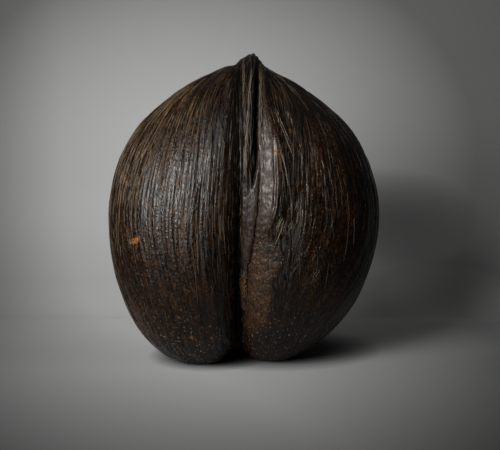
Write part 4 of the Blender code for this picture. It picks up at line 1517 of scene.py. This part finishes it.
# Matted short fibres on the rough wall, the golden tuft in the cleft, and the red fibres below it and
# beside the crack. The tuft and the red fibres have a place: how far right it is, and how wide to
# each side, and the same for the tuft's height. Four heights are where they fade in and out.
wallMat = {
    "seed": 61, "count": 1300, "stations": 6, "sides": 4, "length": 0.0036, "halfWidth": (0.00007, 0.00016),
    "lean": -0.35, "spread": 0.7, "lift": 0.0002,
}
cleftTuft = {
    "seed": 71, "count": 130, "stations": 8, "sides": 5, "length": 0.0080, "halfWidth": (0.00010, 0.00022),
    "lean": -0.45, "spread": 0.35, "lift": 0.0014,
    "right": (0.0002, 0.0020), "height": (0.0825, 0.0080),
}
cleftLine = {
    "seed": 73, "count": 300, "stations": 6, "sides": 4, "length": 0.0050, "halfWidth": (0.00010, 0.00020),
    "lean": 0.0, "spread": 0.6, "lift": 0.0008,
    "right": (0.0004, 0.0020), "heights": (0.028, 0.040, 0.066, 0.076),
    "besideCrack": (0.0008, 0.0004), "crackHeights": (0.070, 0.090, 0.135, 0.150), "crackShare": 0.7,
}


def buildMat(name, mat, weight, material):
    # short paths from chosen places of the cleft face, at a lean with spread, arched by lift
    random = np.random.default_rng(mat["seed"])
    rows, columns = facePoints.shape[:2]
    chosen = random.choice(rows * columns, mat["count"], p=(weight / weight.sum()).ravel())
    row, column = (chosen // columns).astype(float)[:, None], (chosen % columns).astype(float)[:, None]
    rowStep = np.linalg.norm(np.diff(facePoints, axis=0), axis=-1).mean()
    columnStep = np.linalg.norm(np.diff(facePoints, axis=1), axis=-1).mean()
    angle = random.normal(mat["lean"], mat["spread"], mat["count"])[:, None]
    length = mat["length"] * random.uniform(0.4, 1.2, mat["count"])[:, None]
    share = np.linspace(-0.5, 0.5, mat["stations"])[None, :]
    bend = random.normal(0.0, 0.25, mat["count"])[:, None]
    turned = angle + bend * share * 2.0
    rowPath = np.clip(row + share * length * np.cos(turned) / rowStep, 1, rows - 3)
    columnPath = np.clip(column + share * length * np.sin(turned) / columnStep, 1, columns - 3)
    base = gridSample(facePoints, rowPath, columnPath, False)
    ups = unit(gridSample(faceNormals, rowPath, columnPath, False))
    arch = mat["lift"] * random.uniform(0.0, 1.0, mat["count"])[:, None] * (1.0 - (2.0 * share) ** 2)
    width = random.uniform(*mat["halfWidth"], mat["count"])[:, None] * (1.0 - 0.55 * (2.0 * share) ** 2)
    return sweepTubes(
        name, base + ups * (arch + width * 0.4)[..., None], ups, width, width * 0.9, mat["sides"],
        random.uniform(0.0, 1.0, mat["count"]), material,
    )


def nearLine(values, middle, halfWidth):
    # 1 at the middle and 0 far from it
    return furrows(values - middle, halfWidth)


def heightsBetween(height, foot, full, ebb, top):
    # 0 up to the foot, 1 from full to ebb, and 0 again from the top
    return fade(height, foot, full) * (1.0 - fade(height, ebb, top))


faceRight = facePoints[..., 0] - placeShift[0]
faceHeight = facePoints[..., 2]
buildMat("wall_mat", wallMat, faceFields["wall"] ** 2 + 1e-9, fibreMaterials["wall mat"])
tuftPlace = nearLine(faceRight, *cleftTuft["right"]) * nearLine(faceHeight, *cleftTuft["height"])
buildMat("cleft_tuft", cleftTuft, tuftPlace + 1e-9, fibreMaterials["golden tuft"])
linePlace = nearLine(faceRight, *cleftLine["right"]) * heightsBetween(faceHeight, *cleftLine["heights"])
besideCrack = nearLine(faceRight - borderAt("crack", faceHeight), *cleftLine["besideCrack"])
besideCrack = besideCrack * heightsBetween(faceHeight, *cleftLine["crackHeights"])
linePlace = linePlace + cleftLine["crackShare"] * besideCrack
buildMat("cleft_line", cleftLine, linePlace + 1e-9, fibreMaterials["red fibre"])


# Stage: a pale paper sweep that turns up close behind the nut, seen from the front alone. Its colour
# is the floor's or the wall's times factors. The wall's darker colour is painted shade, and the factors
# are painted light and shade: a fall-off of the light, contact shadows round the lobes' feet, the nut's
# shadow on the wall, and light at the foot of the wall and on its right. Two numbers are a range of
# places, and four are a range and the factors at its two ends.
stageShape = {
    "near": -3.0, "turn": 0.22, "bend": 0.15, "top": 2.2, "half": 3.2,
    "floor": (0.440, 0.439, 0.436), "wall": (0.224, 0.2234, 0.2212),
    "wallFrom": (-0.05, 0.34),    # how far back the floor's colour turns into the wall's
    # painted fall-off of the light: the paper darker far from this middle, over this reach
    "middle": (-0.04, 0.0, 0.17), "reach": (0.27, 0.55, 0.225),
    "paintedFalloff": (0.45, 1.9, 1.0, 0.36),  # darker far from the middle
    # painted shade: the floor darker towards the front on the left, where the light falls off
    "leftFront": (1.0, 0.45, 0.0), "paintedFrontLeftShade": (-0.36, -0.06, 0.22, 1.0),
    # painted shade on the floor to the right, and painted light on the wall to the right, more of it low
    # down
    "right": (0.05, 0.30), "paintedFloorRightShade": 0.74,
    "paintedWallRightLight": (0.02, 0.30, 1.70, 1.12),  # goes by height
    # painted light on the paper at the foot of the wall, fading higher up the wall
    "rise": (0.0, 0.218), "risePower": 1.7, "paintedWallFootLight": (0.97, 1.55),  # lighter foot of the wall
    "fall": (0.218, 0.31), "fallPower": 0.7, "paintedHighWallShade": (1.0, 0.70),
    # painted shadow of the nut on the wall to its right (factor 0.36), and painted light low down further
    # right (factor 1.50)
    "paintedWallShadowAndLight": (               # middle, reach and factor of places on the right of the wall
        ((0.155, 0.360, 0.103), (0.135, 1.00, 0.060), 0.36),
        ((0.240, 0.280, 0.017), (0.085, 0.12, 0.036), 1.50),
    ),
    # painted contact shadow on the paper round the foot of each lobe
    "paintedFootShadows": (               # middle and reach of the darker paper round the foot of each lobe
        ((-0.035, 0.022, 0.0), (0.050, 0.064, 1.0)), ((0.030, 0.055, 0.0), (0.090, 0.090, 1.0)),
    ),
    "paintedFootShadow": (0.35, 1.5, 0.10, 1.0),
}


def paperColour(tree, shape):
    # colour from the floor's to the wall's * product of all factors, which are painted light and shade
    place = addNode(tree, "ShaderNodeTexCoord", {}).outputs["Object"]
    across, away, high = (axisOf(tree, place, axis) for axis in range(3))
    further = ranged(tree, away, *shape["wallFrom"])
    plain = mixed(tree, further, shape["floor"], shape["wall"])
    aside = vectorMaths(tree, "DOT_PRODUCT", place, shape["leftFront"])
    paintedFloorRightShade = ranged(tree, across, *shape["right"], 1.0, shape["paintedFloorRightShade"])
    paintedWallRightLight = blended(
        tree, ranged(tree, across, *shape["right"]), 1.0, ranged(tree, high, *shape["paintedWallRightLight"])
    )
    rise = maths(tree, "POWER", ranged(tree, away, *shape["rise"]), shape["risePower"])
    fall = maths(tree, "POWER", ranged(tree, away, *shape["fall"]), shape["fallPower"])
    factors = [
        ranged(tree, farFrom(tree, place, shape["middle"], shape["reach"]), *shape["paintedFalloff"]),
        ranged(tree, aside, *shape["paintedFrontLeftShade"]),
        blended(tree, further, paintedFloorRightShade, paintedWallRightLight),
        ranged(tree, rise, 0.0, 1.0, *shape["paintedWallFootLight"]),
        ranged(tree, fall, 0.0, 1.0, *shape["paintedHighWallShade"]),
    ]
    for middle, reach in shape["paintedFootShadows"]:
        factors.append(ranged(tree, farFrom(tree, place, middle, reach), *shape["paintedFootShadow"]))
    for middle, reach, factor in shape["paintedWallShadowAndLight"]:
        factors.append(ranged(tree, farFrom(tree, place, middle, reach), 0.0, 1.0, factor, 1.0))
    return vectorMaths(tree, "SCALE", plain, times(tree, *factors))


def buildStage(shape):
    # profile: flat floor, quarter circle of radius bend, then straight up; carried along x
    arc = np.linspace(0.0, np.pi / 2.0, 24)
    deep = np.concatenate([[shape["near"], -0.5, 0.0], shape["turn"] + shape["bend"] * np.sin(arc)])
    up = np.concatenate([[0.0, 0.0, 0.0], shape["bend"] * (1.0 - np.cos(arc))])
    deep = np.append(deep, shape["turn"] + shape["bend"])
    up = np.append(up, shape["top"])
    across = np.linspace(-shape["half"], shape["half"], 9)
    points = np.stack([
        across[None, :] + 0.0 * deep[:, None], deep[:, None] + 0.0 * across, up[:, None] + 0.0 * across
    ], axis=-1)
    rows, columns = points.shape[:2]
    index = np.arange(rows * columns).reshape(rows, columns)
    faces = np.stack([index[:-1, :-1], index[:-1, 1:], index[1:, 1:], index[1:, :-1]], axis=-1)
    mesh = bpy.data.meshes.new("paper")
    mesh.from_pydata(points.reshape(-1, 3).tolist(), [], faces.reshape(-1, 4).tolist())
    mesh.shade_smooth()
    material = bpy.data.materials.new("paper")
    material.use_nodes = True
    tree = material.node_tree
    shader = tree.nodes["Principled BSDF"]
    tree.links.new(paperColour(tree, shape), shader.inputs["Base Color"])
    shader.inputs["Roughness"].default_value = 0.85
    shader.inputs["Specular IOR Level"].default_value = 0.0
    behind = addNode(tree, "ShaderNodeNewGeometry", {}).outputs["Backfacing"]
    clear = addNode(tree, "ShaderNodeBsdfTransparent", {}).outputs[0]
    both = addNode(tree, "ShaderNodeMixShader", {0: behind, 1: shader.outputs[0], 2: clear}).outputs[0]
    tree.links.new(both, tree.nodes["Material Output"].inputs["Surface"])
    mesh.materials.append(material)
    paper = bpy.data.objects.new("paper_sweep", mesh)
    bpy.context.scene.collection.objects.link(paper)


buildStage(stageShape)

# The lights. Azimuth, elevation and distance are from the middle.
lights = {
    "key": {"azimuth": -41.0, "elevation": 18.5, "distance": 0.98, "size": 0.74, "power": 5.5,
            "aim": (-0.11, 0.26, 0.13), "spread": 66.0},
    "fill": {"azimuth": 105.0, "elevation": 44.0, "distance": 0.80, "size": 0.50, "power": 0.10,
             "aim": (0.33, 0.37, 0.10), "spread": 100.0},
}
lightsMiddle = (0.0, 0.0, 0.14)
world = {"colour": (1.0, 0.96, 0.91), "strength": 0.058}


def addLight(name, light):
    # stands at the middle + distance * (sin a cos e, -cos a cos e, sin e) and faces its aim
    turn, tilt = np.radians(light["azimuth"]), np.radians(light["elevation"])
    lamp = bpy.data.objects.new(name, bpy.data.lights.new(name, "AREA"))
    lamp.data.shape = "SQUARE"
    lamp.data.size = light["size"]
    lamp.data.energy = light["power"]
    lamp.data.spread = np.radians(light["spread"])
    place = np.array(lightsMiddle) + light["distance"] * np.array(
        [np.sin(turn) * np.cos(tilt), -np.cos(turn) * np.cos(tilt), np.sin(tilt)]
    )
    back = unit(place - np.array(light["aim"]))
    lamp.location = place
    lamp.rotation_euler = (np.arccos(back[2]), 0.0, np.arctan2(back[0], -back[1]))
    bpy.context.scene.collection.objects.link(lamp)


for lightName, light in lights.items():
    addLight(lightName, light)

room = bpy.data.worlds.new("room")
room.use_nodes = True
room.node_tree.nodes["Background"].inputs["Color"].default_value = (*world["colour"], 1.0)
room.node_tree.nodes["Background"].inputs["Strength"].default_value = world["strength"]
bpy.context.scene.world = room
bpy.context.scene.view_settings.view_transform = "Standard"
print("stage and lights placed")
